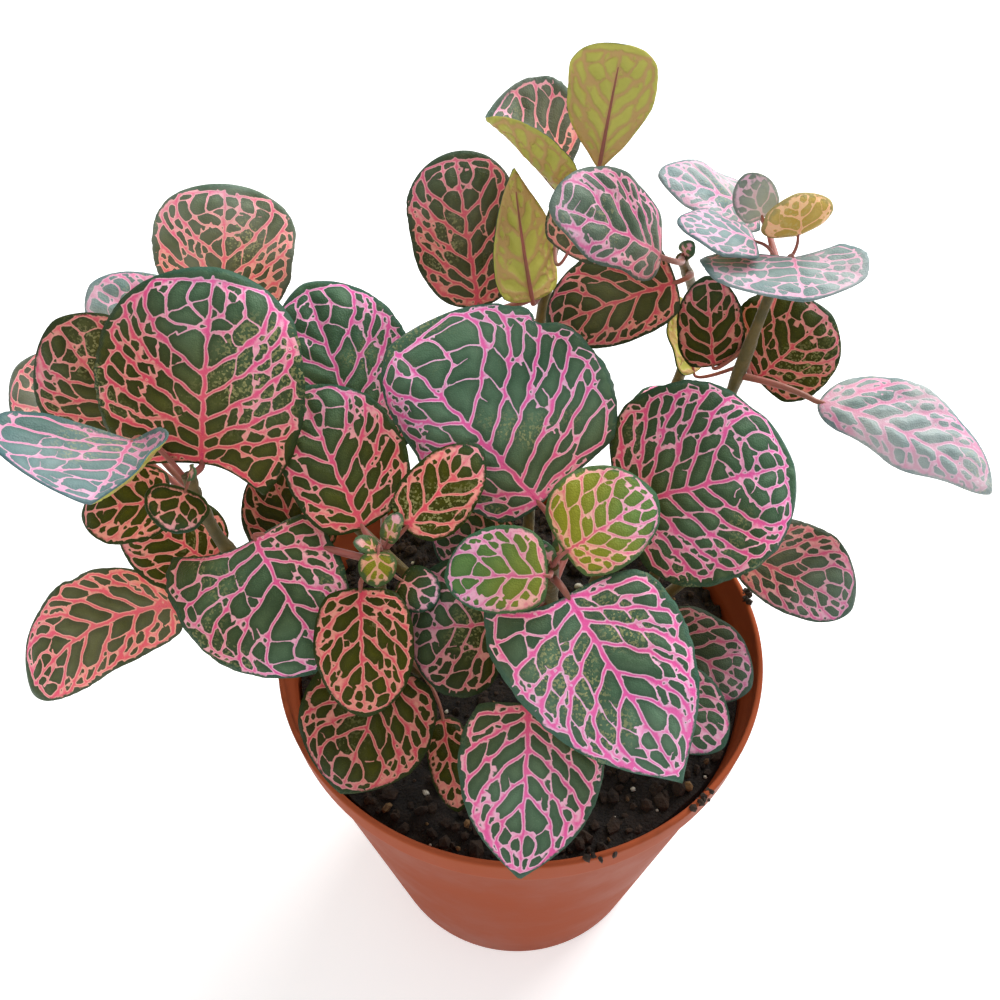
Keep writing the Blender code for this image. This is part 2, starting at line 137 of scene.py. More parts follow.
# One row a leaf, numbered from 1 on each stem: how far up the stem its stalk
# starts, where the blade starts and ends, the way its upper face looks, the half
# widths left and right of the midrib, the bend of the midrib and the upward curl
# of the left and right halves in degrees. The last three numbers are its tint:
# how cool it is, from olive and salmon (0) to teal and magenta (1), how light
# (1 as painted), which is partly the leaf's own tone and partly painted light and
# shade, and how strong a painted reflection of the sky lies on it.
LEAF_ROWS = {
    "left": (
        (1.0, (-67.5, 1, 164), (-63, 26, 196), (0.05, -0.65, 0.76),
         23, 20.5, 25, -8, -22, (0.35, 1.05, 0.01)),
        (0.93, (-79, -1, 173.5), (-80, -24, 179.5), (0.12, -0.1, 1),
         12, 25, -15, 80, 30, (0.45, 0.88, 0.1)),
        (0.86, (-82, 11, 161), (-99, 24, 184), (-0.25, -0.6, 0.75),
         15, 16, 15, 0, 0, (0.15, 0.95, 0.02)),
        (0.72, (-84, 14, 151), (-121, 40, 158), (-0.2, -0.5, 0.85),
         14, 13, 15, 10, 10, (0.05, 1.5, 0.24)),
        (0.98, (-69, -7, 165), (-72, -14, 160), (0, -0.7, 0.7),
         7, 7, -20, 50, 50, (0.2, 0.9, 0.0)),
        (0.85, (-75, -2, 157), (-95, -3, 153), (0, -0.35, 0.93),
         9, 9, 15, 0, 0, (0.0, 1.02, 0.0)),
        (0.55, (-70, -2, 135), (-90, 6, 145), (0.15, -0.5, 0.85),
         11, 11, 10, 0, 0, (0.15, 1.02, 0.0)),
        (0.4, (-78, -9, 129), (-113, -22, 113), (0, -0.6, 0.8),
         11, 13, 20, 0, 0, (0.15, 1.4, 0.07)),
    ),
    "left_back": (
        (1.0, (-72, 52, 162), (-70, 70, 189), (0, -0.65, 0.75),
         18, 17, 15, -8, -8, (0.2, 1.6, 0.16)),
        (0.85, (-80, 49, 154), (-106, 61, 167), (-0.2, -0.3, 0.93),
         12, 12, 20, 0, 0, (0.3, 0.95, 0.3)),
        (0.5, (-46, 44, 132), (-50, 78, 134), (-0.1, 0.3, 0.95), 13, 14, 25, 0, 0),
    ),
    "front_left": (
        (1.0, (-34, -7, 153), (-49, 20, 169), (0, -0.65, 0.75),
         11, 16, 10, 0, 12, (0.4, 0.95, 0.0)),
        (0.98, (-25, -8, 154), (-9, 6, 165), (0.1, -0.6, 0.8),
         7.5, 8.5, 10, 20, 20, (0.05, 1.1, 0.0)),
        (0.9, (-35, 20, 145), (-53, 60, 168), (0, -0.6, 0.8),
         14, 19, 20, -5, -10, (0.75, 1.02, 0.0)),
        (1.0, (-30, -15, 155), (-30, -22, 152), (0, -0.5, 0.85),
         4, 4, 20, 0, 0, (0.1, 0.72, 0.0)),
        (0.92, (-58, -6, 149), (-40.5, -28, 132), (-0.05, -0.6, 0.8),
         14, 24, 40, -10, -15, (0.55, 1.0, 0.0)),
        (0.85, (-34, -19, 148), (-33, -38.5, 129), (0, -0.75, 0.66),
         11, 10, 25, 0, 0, (0.05, 0.95, 0.0)),
        (0.6, (-28, -28, 133), (-39, -48, 114), (0, -0.7, 0.72),
         14, 15, 15, 0, 0, (0.1, 0.72, 0.0)),
        (0.9, (-26, -16, 147), (-18, -19, 143), (0.1, -0.6, 0.8),
         5, 5, 10, 0, 0, (0.4, 0.9, 0.0)),
        (0.7, (-50, 2, 132), (-59, 18, 148), (0, -0.7, 0.7), 11, 11, 10, 0, 0, (0.0, 0.6, 0.0)),
        (0.3, (-18, -28, 112), (-14, -48, 106), (0, -0.4, 0.9), 5, 5, 15, 0, 0, (0.0, 0.7, 0.0)),
    ),
    "centre": (
        (0.9, (4, 2.5, 150), (-30, 32, 171), (0.05, -0.65, 0.76),
         14, 32.5, 30, -35, -3, (0.75, 1.18, 0.02)),
        (0.85, (21.5, 3, 149), (62, 14, 151), (0.1, -0.55, 0.83),
         25, 22, 25, -8, -12, (0.55, 1.0, 0.0)),
        (1.0, (8, -18, 158), (27, -7, 164), (0, -0.6, 0.8), 13, 9, 20, 0, 0, (0.35, 1.05, 0.0)),
        (0.98, (4.5, -23, 157), (-16.5, -20.5, 153), (-0.1, -0.6, 0.8),
         7.5, 10.5, 20, 0, 0, (0.55, 1.0, 0.0)),
        (0.94, (8.5, -24, 152), (32, -52, 126), (0, -0.65, 0.76),
         18, 20, 20, -5, -5, (0.75, 1.15, 0.03)),
        (0.7, (1, -38, 134), (-1, -65, 110), (0, -0.7, 0.7),
         16, 14, 25, -5, -10, (0.55, 1.05, 0.02)),
        (0.78, (-5, -23, 141), (-25, -22, 137), (-0.2, -0.5, 0.85),
         15, 15, 20, 0, 0, (0.35, 0.6, 0.0)),
        (0.45, (31, -9, 118), (54, -19, 110), (0, -0.5, 0.85),
         11, 10, 15, 0, 0, (0.45, 0.6, 0.03)),
        (0.4, (28, -18, 114), (45.5, -34, 109), (0, -0.5, 0.85),
         10, 9, 15, 0, 0, (0.6, 0.86, 0.02)),
        (0.55, (-3, -3, 138), (-20, 6, 141), (0, -0.55, 0.83), 9, 9, 15, 0, 0, (0.4, 0.72, 0.0)),
    ),
    "right_low": (
        (1.0, (52, 8.5, 127), (79, -3, 119.5), (0, -0.55, 0.83),
         14, 8.5, 20, 0, 0, (0.4, 0.85, 0.08)),
        (0.55, (69, 29, 157), (106, 8, 148), (0.1, -0.3, 0.95),
         14, 7, 45, 0, -50, (0.75, 0.88, 0.4)),
    ),
    "back": (
        (0.68, (-10, 50, 168), (-16, 78, 193), (0, -0.65, 0.76),
         14, 13, 10, -15, 10, (0.1, 0.92, 0.05)),
        (0.92, (8.5, 65, 190.5), (-8, 67, 207), (0.4, 0.05, 0.9),
         15, 25, 10, 95, 60, (0.3, 1.1, 0.1)),
        (1.0, (17, 59.5, 198.5), (21, 68, 223), (0.1, 0.9, 0.1),
         9.5, 10.5, 20, 30, 15, (0.2, 1.0, 0.0)),
        (0.72, (2.3, 47, 172), (-2.2, 60, 199), (-0.5, 0.8, -0.3), 9, 8, 10, 15, 15),
        (0.85, (9.8, 45, 186), (18.8, 51, 202), (0, -0.6, 0.8),
         8.5, 8, 10, 0, 0, (0.2, 0.95, 0.05)),
        (0.4, (0, 56, 135), (-8, 90, 138), (0, 0.35, 0.94), 15, 15, 25, 0, 0),
    ),
    "back_mid": (
        (1.0, (31, 43, 187), (5, 33, 206), (-0.2, -0.5, 0.8),
         8, 14, 20, -20, 0, (0.6, 0.78, 0.12)),
        (0.9, (36, 49, 176), (6, 48, 163), (-0.1, -0.6, 0.8),
         10, 14, 15, 0, 0, (0.25, 0.85, 0.03)),
        (0.4, (38, 47, 122), (50, 74, 122), (0.2, 0.3, 0.93), 14, 14, 25, 0, 0, (0.4, 1.0, 0.0)),
    ),
    "back_right": (
        (1.0, (57, 67, 183), (31, 62, 196), (0.1, -0.25, 0.97),
         9, 9, 15, 0, 0, (0.6, 0.86, 0.32)),
        (0.97, (51, 43, 191), (33, 43, 196), (-0.1, 0.05, 1), 10, 8, 15, 0, 0, (0.6, 0.86, 0.22)),
        (0.99, (59, 41, 188.5), (57.5, 23, 190), (0, 0, 1), 15, 21, 5, 30, 8, (0.5, 0.9, 0.3)),
        (1.0, (60.5, 45, 190.5), (58.5, 46.5, 200.5), (0, -0.6, 0.8),
         8.3, 8.3, 60, -20, -20, (0.2, 1.3, 0.1)),
        (0.95, (54, 52.5, 190.5), (49, 56, 199.5), (-0.2, -0.6, 0.75),
         5, 5, 10, 10, 10, (0.5, 0.95, 0.4)),
        (0.6, (57, 40, 154), (74, 49, 167), (0.1, -0.6, 0.8), 16, 12, 10, 0, 0, (0.1, 0.8, 0.0)),
        (0.65, (46.2, 41, 157), (42.2, 47, 179), (-0.1, -0.65, 0.75),
         8, 8, 10, 0, 0, (0.05, 0.68, 0.0)),
        (0.58, (43, 47, 150), (38, 57, 166), (-0.7, 0.6, -0.1), 6, 7, 10, 0, 0),
    ),
}


def bud(base, tip, face, width):
    """The row of a bud leaf: it starts at the top of its stem and is cupped."""
    return 1.0, base, tip, face, width, width, 30, 30, 30


# Bud leaves at the shoot tips; they are not modelled parts.
BUD_ROWS = {
    "centre": (
        bud((5.5, -18.5, 155), (3, -16.5, 160), (0, -0.8, 0.5), 1.7),
        bud((6.5, -17, 155), (10, -13, 160.5), (-0.3, -0.6, 0.7), 2),
    ),
    "front_left": (
        bud((-29, -10, 152), (-26, -6, 157), (-0.4, -0.6, 0.7), 2.2),
        bud((-30.5, -12, 152), (-35, -13, 156), (0.5, -0.3, 0.8), 2),
    ),
    "left": (bud((-69.5, -1.5, 164), (-67, -5.5, 168), (-0.2, -0.6, 0.8), 1.8),),
    "left_back": (bud((-68, 46, 161), (-65, 44, 165.5), (-0.4, -0.4, 0.8), 2),),
    "back_mid": (bud((38, 57, 178), (39.5, 54, 183), (-0.1, -0.7, 0.7), 2),),
    "right_low": (bud((46, 9, 123), (44, 5, 127), (0.4, -0.4, 0.8), 2),),
}

OTHER_STEM = {"leaf_right_low_2": "back_right"}
BOWED = {"leaf_left_8": -5}     # midribs that bow sideways, mm
USUAL_TINT = (0.4, 0.95, 0.03)
Leaf = namedtuple(
    "Leaf", "stem along base tip face left right bend curl_left curl_right tint",
    defaults=[USUAL_TINT],
)


def named_leaves(kind, rows):
    """The rows as leaves, each named by its kind, stem and number."""
    leaves = {}
    for stem, group in rows.items():
        for number, row in enumerate(group, 1):
            name = f"{kind}_{stem}_{number}"
            leaves[name] = Leaf(OTHER_STEM.get(name, stem), *row)
    return leaves


LEAVES = named_leaves("leaf", LEAF_ROWS)
BUDS = named_leaves("bud", BUD_ROWS)
ALL_LEAVES = {**LEAVES, **BUDS}

# Leaves whose outline differs from the usual: where they are widest, how far the
# lobes beside the stalk reach back, left and right, how blunt the tip is (0.4
# flat, 1.1 pointed) and how full the base is (0.5 round, 1.2 a wedge).
USUAL_SHAPE = (0.42, 0.07, 0.07, 0.65, 0.5)
SHAPES = {
    "leaf_left_1": (0.50, 0.2, 0.34, 0.55, 0.5),
    "leaf_left_8": (0.50, 0.04, 0.04, 0.6, 0.5),
    "leaf_left_back_1": (0.62, 0.03, 0.03, 0.5, 0.5),
    "leaf_front_left_1": (0.45, 0.05, 0.05, 0.75, 0.5),
    "leaf_front_left_2": (0.40, 0.03, 0.03, 0.8, 0.5),
    "leaf_front_left_3": (0.50, 0.05, 0.05, 0.6, 0.5),
    "leaf_front_left_5": (0.28, 0.10, 0.5, 0.65, 0.5),
    "leaf_front_left_7": (0.45, 0.07, 0.07, 0.9, 0.5),
    "leaf_centre_1": (0.42, 0.06, 0.14, 0.6, 0.5),
    "leaf_centre_2": (0.44, 0.06, 0.06, 0.55, 0.5),
    "leaf_centre_5": (0.28, 0.05, 0.30, 1.2, 0.5),
    "leaf_centre_6": (0.34, 0.07, 0.10, 1.05, 0.5),
    "leaf_right_low_1": (0.50, 0.03, 0.03, 0.6, 0.5),
    "leaf_right_low_2": (0.40, 0.0, 0.0, 0.75, 0.5),
    "leaf_back_1": (0.60, 0.03, 0.03, 0.5, 0.5),
    "leaf_back_3": (0.74, -0.05, -0.05, 0.5, 0.95),
    "leaf_back_4": (0.24, 0.05, 0.05, 1.2, 0.5),
    "leaf_back_right_3": (0.42, 0.3, 0.05, 0.6, 0.5),
}

# Bites out of a margin: on the left (1) or right (-1), how far along, how deep.
NOTCHES = {
    "leaf_centre_1": (-1, 0.60, 0.10),
    "leaf_centre_2": (1, 0.86, 0.08),
    "leaf_left_8": (-1, 0.45, 0.05),
}

# Each leaf's paint; the buds are young and the rest are grown. The pale paint is lighter and
# bluer, a painted reflection of the sky.
PAINT_OF = {
    "leaf_centre_3": "young", "leaf_centre_4": "young", "leaf_front_left_4": "young",
    "leaf_back_right_4": "amber", "leaf_left_2": "pale", "leaf_left_back_2": "pale",
    "leaf_right_low_2": "pale", "leaf_back_right_1": "pale", "leaf_back_right_2": "pale",
    "leaf_back_right_3": "pale",
}

# Paints, each as a warm end and a cool end, with a colour for each of the parts.
PAINT_PARTS = ("Cell", "Cell Light", "Vein", "Vein Edge", "Margin")
PAINT_ENDS = (" Warm", " Cool")
PAINTS = {
    "grown": (
        ("2E3004", "6A6812", "E2405A", "F2A08C", "2A3812"),
        ("34523C", "789C7A", "F04CA8", "FDC4E2", "305848"),
    ),
    "young": (
        ("86841A", "BCB442", "DC4C62", "F8B890", "3C5E3A"),
        ("46703A", "86A460", "E45AA6", "FAB8D6", "365E4A"),
    ),
    "amber": (("B08A20", "DCC250", "DC6A48", "F6C08A", "8A7A30"),) * 2,
    # The pale paint: a lighter, bluer copy of the leaf colours that stands for a painted
    # reflection of the sky.
    "pale": (
        ("486A5C", "7C9C90", "EC5C90", "F8A8C4", "3A6460"),
        ("587E80", "9ABABC", "EE74B2", "FAC0DE", "3E6E78"),
    ),
}
# The lower faces: skin, darker skin, ribs.
UNDERSIDES = {
    "grown": ("D6D068", "A8A848", "C87C70"),
    "young": ("D4CE62", "ACAA48", "D89878"),
}
DEEP_PINK = (0.60, 0.02, 0.13, 1.0)
PALE_PINK = (1.0, 0.8, 0.88, 1.0)
# Colour of the painted gold glints on the blades
GOLD_GLINT = (0.55, 0.50, 0.20, 1.0)
# Colour of the painted reflection of the sky on the blades
PAINTED_SKY_REFLECTION = (0.68, 0.70, 0.66, 1.0)

# Two colours, the scale of the noise that mixes them, roughness, depth of the
# bump in metres, and sheen.
STREAKED = {
    "stalk_skin": ("A4544A", "86503A", 120.0, 0.5, 0.0002, 0.2),
    "stem_skin": ("6E5A26", "4C4418", 160.0, 0.6, 0.0004, 0.25),
    "soil_peat": ("0E0A08", "241A14", 260.0, 0.95, 0.0012, 0.0),
    "soil_crumb": ("1C130E", "3A2A1E", 300.0, 0.95, 0.0006, 0.0),
    "perlite": ("D8D2C6", "8E8678", 240.0, 0.9, 0.0004, 0.0),
    "wood_bits": ("8A6A44", "4A3420", 260.0, 0.85, 0.0005, 0.0),
}

# Scales of the noises in the blades' skin, in features a metre
CLOUDS = 34.0
GLINT_PATCHES = 48.0
PATCHES = 70.0
RAGGED_EDGE = 1100.0
GLINTS = 2300.0
SKIN_GRAIN = 2600.0

# Limits of the fades in the blades' skin: depths inside a vein and distances
# from the margin in mm, or shares of a noise
VEIN_PAINT = (-0.05, 0.08)
VEIN_CORE = (0.08, 0.36)
STRONG_GIRTH = (0.58, 0.8)
STRONG_CORE = (0.2, 0.5)
CELL_SHADE = (-1.4, -0.1)
BORDER_FADE = (0.6, 1.5)
VEIN_FADE = (0.2, 0.9)
GLINT_FADE = (0.62, 0.8)
GLINT_AREA = (0.56, 0.7)
SPECK_FADE = (0.0, 0.35)
# How far the edges wander, and how strongly the colours show
RAGGED_VEIN = 0.24
RAGGED_MARGIN = 1.4
BORDER_SHARE = 0.8
GLINT_SHARE = 0.42
DEEP_SHARE = 0.55
SPECK_SHARE = 0.16

# The heights on the pot between which the collar's colour and the dust fade in
COLLAR_FADE = (0.0955, 0.0965)
DUST_FADE = (0.0985, 0.1055)

# Camera, floor and light
CAMERA_AT = (-5.0, -154.0, 320.0)
CAMERA_TILT = 42.9
CAMERA_LENS = 37.8
SENSOR_WIDTH = 36.0
FLOOR_SIZE = 3.0
FLOOR_DROP = 0.0002
FLOOR_GLOW = 0.45
SKY_GLOW = 0.45
PLANT_MIDDLE = (0.0, 0.0, 0.13)
# Each lamp's place, width and power in watts; they all look at the plant's middle.
LAMPS = {
    "window": ((0.45, 0.55, 0.75), 0.8, 12.0),
    "front_fill": ((-0.5, -0.7, 0.7), 0.9, 2.2),
}


def colour(code):
    """A colour from its six-letter code, as the shader needs it."""
    values = [int(code[index:index + 2], 16) / 255 for index in (0, 2, 4)]
    return (*(v / 12.92 if v <= 0.04045 else ((v + 0.055) / 1.055) ** 2.4 for v in values), 1.0)


def smooth(low, high, value):
    share = np.clip((value - low) / (high - low), 0.0, 1.0)
    return share * share * (3.0 - 2.0 * share)


# ---------------------------------------------------------------- shader parts

class Nodes:
    """Adds shader nodes to a tree. An input is a value or another node's output."""

    def __init__(self, tree):
        self.tree = tree

    def add(self, kind, inputs=None, **settings):
        node = self.tree.nodes.new(kind)
        for key, value in settings.items():
            setattr(node, key, value)
        for key, value in (inputs or {}).items():
            self.feed(node.inputs[key], value)
        return node

    def feed(self, socket, value):
        if isinstance(value, bpy.types.NodeSocket):
            self.tree.links.new(value, socket)
        else:
            socket.default_value = value

    def math(self, operation, first, second):
        return self.add("ShaderNodeMath", {0: first, 1: second}, operation=operation).outputs[0]

    def plus(self, first, second):
        return self.math("ADD", first, second)

    def minus(self, first, second):
        return self.math("SUBTRACT", first, second)

    def times(self, first, second):
        return self.math("MULTIPLY", first, second)

    def ramp(self, value, low, high, start=0.0, end=1.0):
        return self.add(
            "ShaderNodeMapRange",
            {"Value": value, "From Min": low, "From Max": high, "To Min": start, "To Max": end},
            interpolation_type="SMOOTHSTEP",
        ).outputs["Result"]

    def mix(self, factor, first, second):
        inputs = {0: factor, 6: first, 7: second}
        return self.add("ShaderNodeMix", inputs, data_type="RGBA").outputs[2]

    def place(self):
        return self.add("ShaderNodeTexCoord").outputs["Object"]

    def noise(self, place, scale, detail=2.0, roughness=0.5):
        inputs = {"Vector": place, "Scale": scale, "Detail": detail, "Roughness": roughness}
        return self.add("ShaderNodeTexNoise", inputs).outputs["Fac"]

    def specks(self, place, scale):
        return self.add("ShaderNodeTexVoronoi", {"Vector": place, "Scale": scale})

    def attribute(self, name):
        return self.add("ShaderNodeAttribute", attribute_name=name).outputs["Fac"]

    def bump(self, shader, height, depth, strength):
        inputs = {"Height": height, "Distance": depth, "Strength": strength}
        bump = self.add("ShaderNodeBump", inputs)
        self.feed(shader.inputs["Normal"], bump.outputs["Normal"])


def new_group(name, colours, outputs):
    """A shader node group with colour inputs and the named outputs."""
    group = bpy.data.node_groups.new(name, "ShaderNodeTree")
    for label in colours:
        group.interface.new_socket(label, in_out="INPUT", socket_type="NodeSocketColor")
    for label, kind in outputs.items():
        group.interface.new_socket(label, in_out="OUTPUT", socket_type=kind)
    source, sink = (group.nodes.new("NodeGroup" + end) for end in ("Input", "Output"))
    return group, source.outputs, sink.inputs


def blade_group():
    """The upper face of a blade: dark cells between pink veins, dark margin, with painted gold
    glints and a painted reflection of the sky.
    """
    group, given, result = new_group(
        "blade_upper",
        [part + end for end in PAINT_ENDS for part in PAINT_PARTS],
        {"Color": "NodeSocketColor", "Roughness": "NodeSocketFloat", "Height": "NodeSocketFloat"},
    )
    nodes = Nodes(group)
    place = nodes.place()
    vein, girth, margin, tone_and_painted_light, cool, painted_sky_reflection = (
        nodes.attribute(label) for label in ("vein", "girth", "margin", "tone_and_painted_light", "cool", "painted_sky_reflection")
    )
    drift = nodes.minus(nodes.noise(place, CLOUDS), 0.5)
    cool = nodes.ramp(nodes.plus(cool, drift), 0.1, 0.9)
    dark, light_cell, middle, edge_tone, border = (
        nodes.mix(cool, *(given[part + end] for end in PAINT_ENDS)) for part in PAINT_PARTS
    )
    ragged = nodes.minus(nodes.noise(place, RAGGED_EDGE, 3.0, 0.6), 0.5)
    patchy = nodes.noise(place, PATCHES, 3.0, 0.6)
    grain = nodes.specks(place, SKIN_GRAIN).outputs["Distance"]
    speck = nodes.ramp(grain, *SPECK_FADE, 1.0, 0.0)

    edge = nodes.plus(vein, nodes.times(ragged, RAGGED_VEIN))
    painted = nodes.ramp(edge, *VEIN_PAINT)
    core = nodes.ramp(edge, *VEIN_CORE)

    light = nodes.plus(nodes.times(patchy, 0.9), nodes.times(speck, 0.28))
    light = nodes.times(light, nodes.ramp(vein, *CELL_SHADE, 0.95, 0.55))
    cell = nodes.mix(nodes.minus(light, 0.1), dark, light_cell)
    near_margin = nodes.plus(margin, nodes.times(ragged, RAGGED_MARGIN))
    rim = nodes.ramp(near_margin, *BORDER_FADE, 1.0, 0.0)
    cell = nodes.mix(nodes.times(rim, BORDER_SHARE), cell, border)
    # Painted highlights: small gold glints put into the cells' colour, in patches.
    glint = nodes.specks(place, GLINTS).outputs["Color"]
    glint = nodes.add("ShaderNodeSeparateColor", {0: glint}).outputs[0]
    patch = nodes.ramp(nodes.noise(place, GLINT_PATCHES), *GLINT_AREA)
    glint = nodes.times(nodes.ramp(glint, *GLINT_FADE), patch)
    cell = nodes.mix(nodes.times(glint, GLINT_SHARE), cell, GOLD_GLINT)

    deep = nodes.mix(nodes.times(patchy, 0.22), middle, edge_tone)
    stripe = nodes.mix(core, edge_tone, deep)
    strong = nodes.times(nodes.ramp(girth, *STRONG_GIRTH), nodes.ramp(edge, *STRONG_CORE))
    stripe = nodes.mix(nodes.times(strong, DEEP_SHARE), stripe, DEEP_PINK)
    stripe = nodes.mix(nodes.times(speck, SPECK_SHARE), stripe, PALE_PINK)

    fade = nodes.ramp(near_margin, *VEIN_FADE)
    whole = nodes.mix(nodes.times(painted, fade), cell, stripe)
    # Lightness by leaf, partly its own tone and partly painted light and shade: lighter where a
    # leaf is lit or backlit, darker where it is shaded.
    whole = nodes.add("ShaderNodeHueSaturation", {"Color": whole, "Value": tone_and_painted_light}).outputs["Color"]
    # Painted reflection of the sky: a pale grey-green mixed into the colour, in patches.
    painted_sky_reflection = nodes.times(painted_sky_reflection, nodes.ramp(patchy, 0.25, 0.75, 0.3, 1.7))
    nodes.feed(result["Color"], nodes.mix(painted_sky_reflection, whole, PAINTED_SKY_REFLECTION))
    rough = nodes.plus(nodes.times(patchy, 0.14), 0.38)
    nodes.feed(result["Roughness"], nodes.plus(rough, nodes.times(painted, 0.08)))
    bumps = nodes.times(grain, nodes.ramp(painted, 0.0, 1.0, 0.7, 0.3))
    nodes.feed(result["Height"], bumps)
    return group


def underside_group():
    """The lower face of a blade: pale green with raised, pinkish veins."""
    group, given, result = new_group(
        "blade_under", ("Skin", "Skin Dark", "Rib"),
        {"Color": "NodeSocketColor", "Height": "NodeSocketFloat"},
    )
    nodes = Nodes(group)
    place = nodes.place()
    vein = nodes.attribute("vein")
    skin = nodes.mix(nodes.noise(place, 90.0, 4.0, 0.6), given["Skin"], given["Skin Dark"])
    grain = nodes.noise(place, 1500.0)
    ribs = nodes.ramp(nodes.plus(vein, nodes.times(grain, 0.2)), -0.25, 0.35)
    nodes.feed(result["Color"], nodes.mix(nodes.times(ribs, 0.5), skin, given["Rib"]))
    nodes.feed(result["Height"], nodes.plus(ribs, nodes.times(grain, 0.5)))
    return group


def new_material(name, constants):
    """A material whose shader has the given constant values, and its nodes."""
    mat = bpy.data.materials.new(name)
    mat.use_nodes = True
    shader = mat.node_tree.nodes["Principled BSDF"]
    for key, value in constants.items():
        shader.inputs[key].default_value = value
    return mat, Nodes(mat.node_tree), shader


def blade_material(paint, group):
    mat, nodes, shader = new_material("leaf_upper_" + paint, {
        "Coat Weight": 0.03, "Coat Roughness": 0.2, "Specular IOR Level": 0.09,
        "Sheen Weight": 0.01, "Sheen Roughness": 0.4, "Sheen Tint": (0.85, 0.95, 1.0, 1.0),
    })
    skin = nodes.add("ShaderNodeGroup", node_tree=group)
    for end, codes in zip(PAINT_ENDS, PAINTS[paint]):
        for part, code in zip(PAINT_PARTS, codes):
            skin.inputs[part + end].default_value = colour(code)
    nodes.feed(shader.inputs["Base Color"], skin.outputs["Color"])
    nodes.feed(shader.inputs["Roughness"], skin.outputs["Roughness"])
    nodes.bump(shader, skin.outputs["Height"], 0.00022, 0.8)
    return mat


def underside_material(kind, group):
    mat, nodes, shader = new_material(
        "leaf_under_" + kind, {"Roughness": 0.5, "Sheen Weight": 0.02, "Specular IOR Level": 0.25},
    )
    skin = nodes.add("ShaderNodeGroup", node_tree=group)
    for socket, code in zip(skin.inputs, UNDERSIDES[kind]):
        socket.default_value = colour(code)
    nodes.feed(shader.inputs["Base Color"], skin.outputs["Color"])
    nodes.bump(shader, skin.outputs["Height"], 0.0003, 0.7)
    return mat


def streaked_material(name):
    """Two colours mixed by noise, with a fine bump."""
    first, second, scale, roughness, depth, sheen = STREAKED[name]
    mat, nodes, shader = new_material(name, {"Roughness": roughness, "Sheen Weight": sheen})
    place = nodes.place()
    patchy = nodes.ramp(nodes.noise(place, scale, 4.0, 0.6), 0.3, 0.7)
    nodes.feed(shader.inputs["Base Color"], nodes.mix(patchy, colour(first), colour(second)))
    nodes.bump(shader, nodes.noise(place, scale * 6.0, 3.0), depth, 0.8)
    return mat


def pot_material():
    """Satin terracotta plastic with faint smudges, and soil dust inside the rim."""
    mat, nodes, shader = new_material("pot_terracotta", {"Specular IOR Level": 0.012})
    place = nodes.place()
    clouds = nodes.noise(place, 28.0, 4.0, 0.65)
    base = nodes.mix(clouds, colour("8E4024"), colour("9E4C2E"))
    height = nodes.add("ShaderNodeSeparateXYZ", {0: place}).outputs["Z"]
    on_collar = nodes.ramp(height, *COLLAR_FADE)
    base = nodes.mix(nodes.times(on_collar, 0.55), base, colour("AA583A"))
    smears = nodes.ramp(nodes.noise(place, 60.0, 5.0, 0.75), 0.60, 0.78)
    base = nodes.mix(nodes.times(smears, 0.30), base, colour("7C3A26"))
    dusty = nodes.times(nodes.ramp(height, *DUST_FADE), nodes.ramp(clouds, 0.48, 0.66))
    base = nodes.mix(nodes.times(dusty, 0.55), base, colour("3A241A"))
    nodes.feed(shader.inputs["Base Color"], base)
    nodes.feed(shader.inputs["Roughness"], nodes.ramp(clouds, 0.3, 0.7, 0.36, 0.52))
    nodes.bump(shader, nodes.noise(place, 900.0), 0.00005, 0.5)
    return mat


# ---------------------------------------------------------------- leaf geometry

def half_width(shape, along):
    """The blade's half width from its base (0) to its tip (1), as a share."""
    widest, _, _, blunt, full = shape
    low = np.clip(1.0 - (np.abs(widest - along) / widest) ** 2.4, 0.0, 1.0) ** full
    beyond = np.clip((along - widest) / (1.0 - widest), 0.0, 1.0)
    return np.where(along < widest, low, (1.0 - beyond ** 2.3) ** blunt)


def lobed(shape, along, side):
    """How far along the midrib a place lies once the lobes are drawn back."""
    lobe = np.where(side > 0, shape[1], shape[2])
    return along - lobe * side ** 2 * (1.0 - along) ** 2 * np.minimum(1.0, along * 10)


def blade_frame(leaf):
    """The blade's start, its directions forward, left and up, and its length."""
    base, tip, face = (np.array(corner, float) for corner in (leaf.base, leaf.tip, leaf.face))
    chord = tip - base
    length = np.linalg.norm(chord)
    forward = chord / length
    up = face - forward * (face @ forward)
    up /= np.linalg.norm(up)
    return base, forward, np.cross(up, forward), up, length


def blade_surface(name, along, side, lift):
    """Points of the blade, raised by lift off its middle sheet."""
    leaf = ALL_LEAVES[name]
    shape = SHAPES.get(name, USUAL_SHAPE)
    base, forward, across, up, length = blade_frame(leaf)
    width = half_width(shape, along) * np.where(side > 0, leaf.left, leaf.right)
    reach = lobed(shape, along, side)
    turn = math.radians(leaf.bend)
    radius = length / (2 * math.sin(turn / 2))
    angle = (turn * (reach - 0.5))[:, None]
    middle = base + forward * (length / 2 + radius * np.sin(angle))
    middle += up * radius * (np.cos(angle) - math.cos(turn / 2))
    middle += across * (BOWED.get(name, 0) * 4 * reach * (1.0 - reach))[:, None]
    normal = up * np.cos(angle) + forward * np.sin(angle)
    curl = np.radians(np.where(side > 0, leaf.curl_left, leaf.curl_right)) * np.abs(side)
    safe = np.where(np.abs(curl) < 1e-4, 1e-4, curl)
    out = np.abs(side) * width
    flat = np.copysign(out * np.sin(safe) / safe, side)
    rise = out * (1.0 - np.cos(safe)) / safe
    point = middle + across * flat[:, None] + normal * rise[:, None]
    outward = normal * np.cos(curl)[:, None] - across * np.copysign(np.sin(curl), side)[:, None]
    return point + outward * lift[:, None]


def travelled(points):
    """How far along a line of points each one lies."""
    steps = np.linalg.norm(np.diff(points, axis=0), axis=1)
    return np.concatenate([[0.0], np.cumsum(steps)])


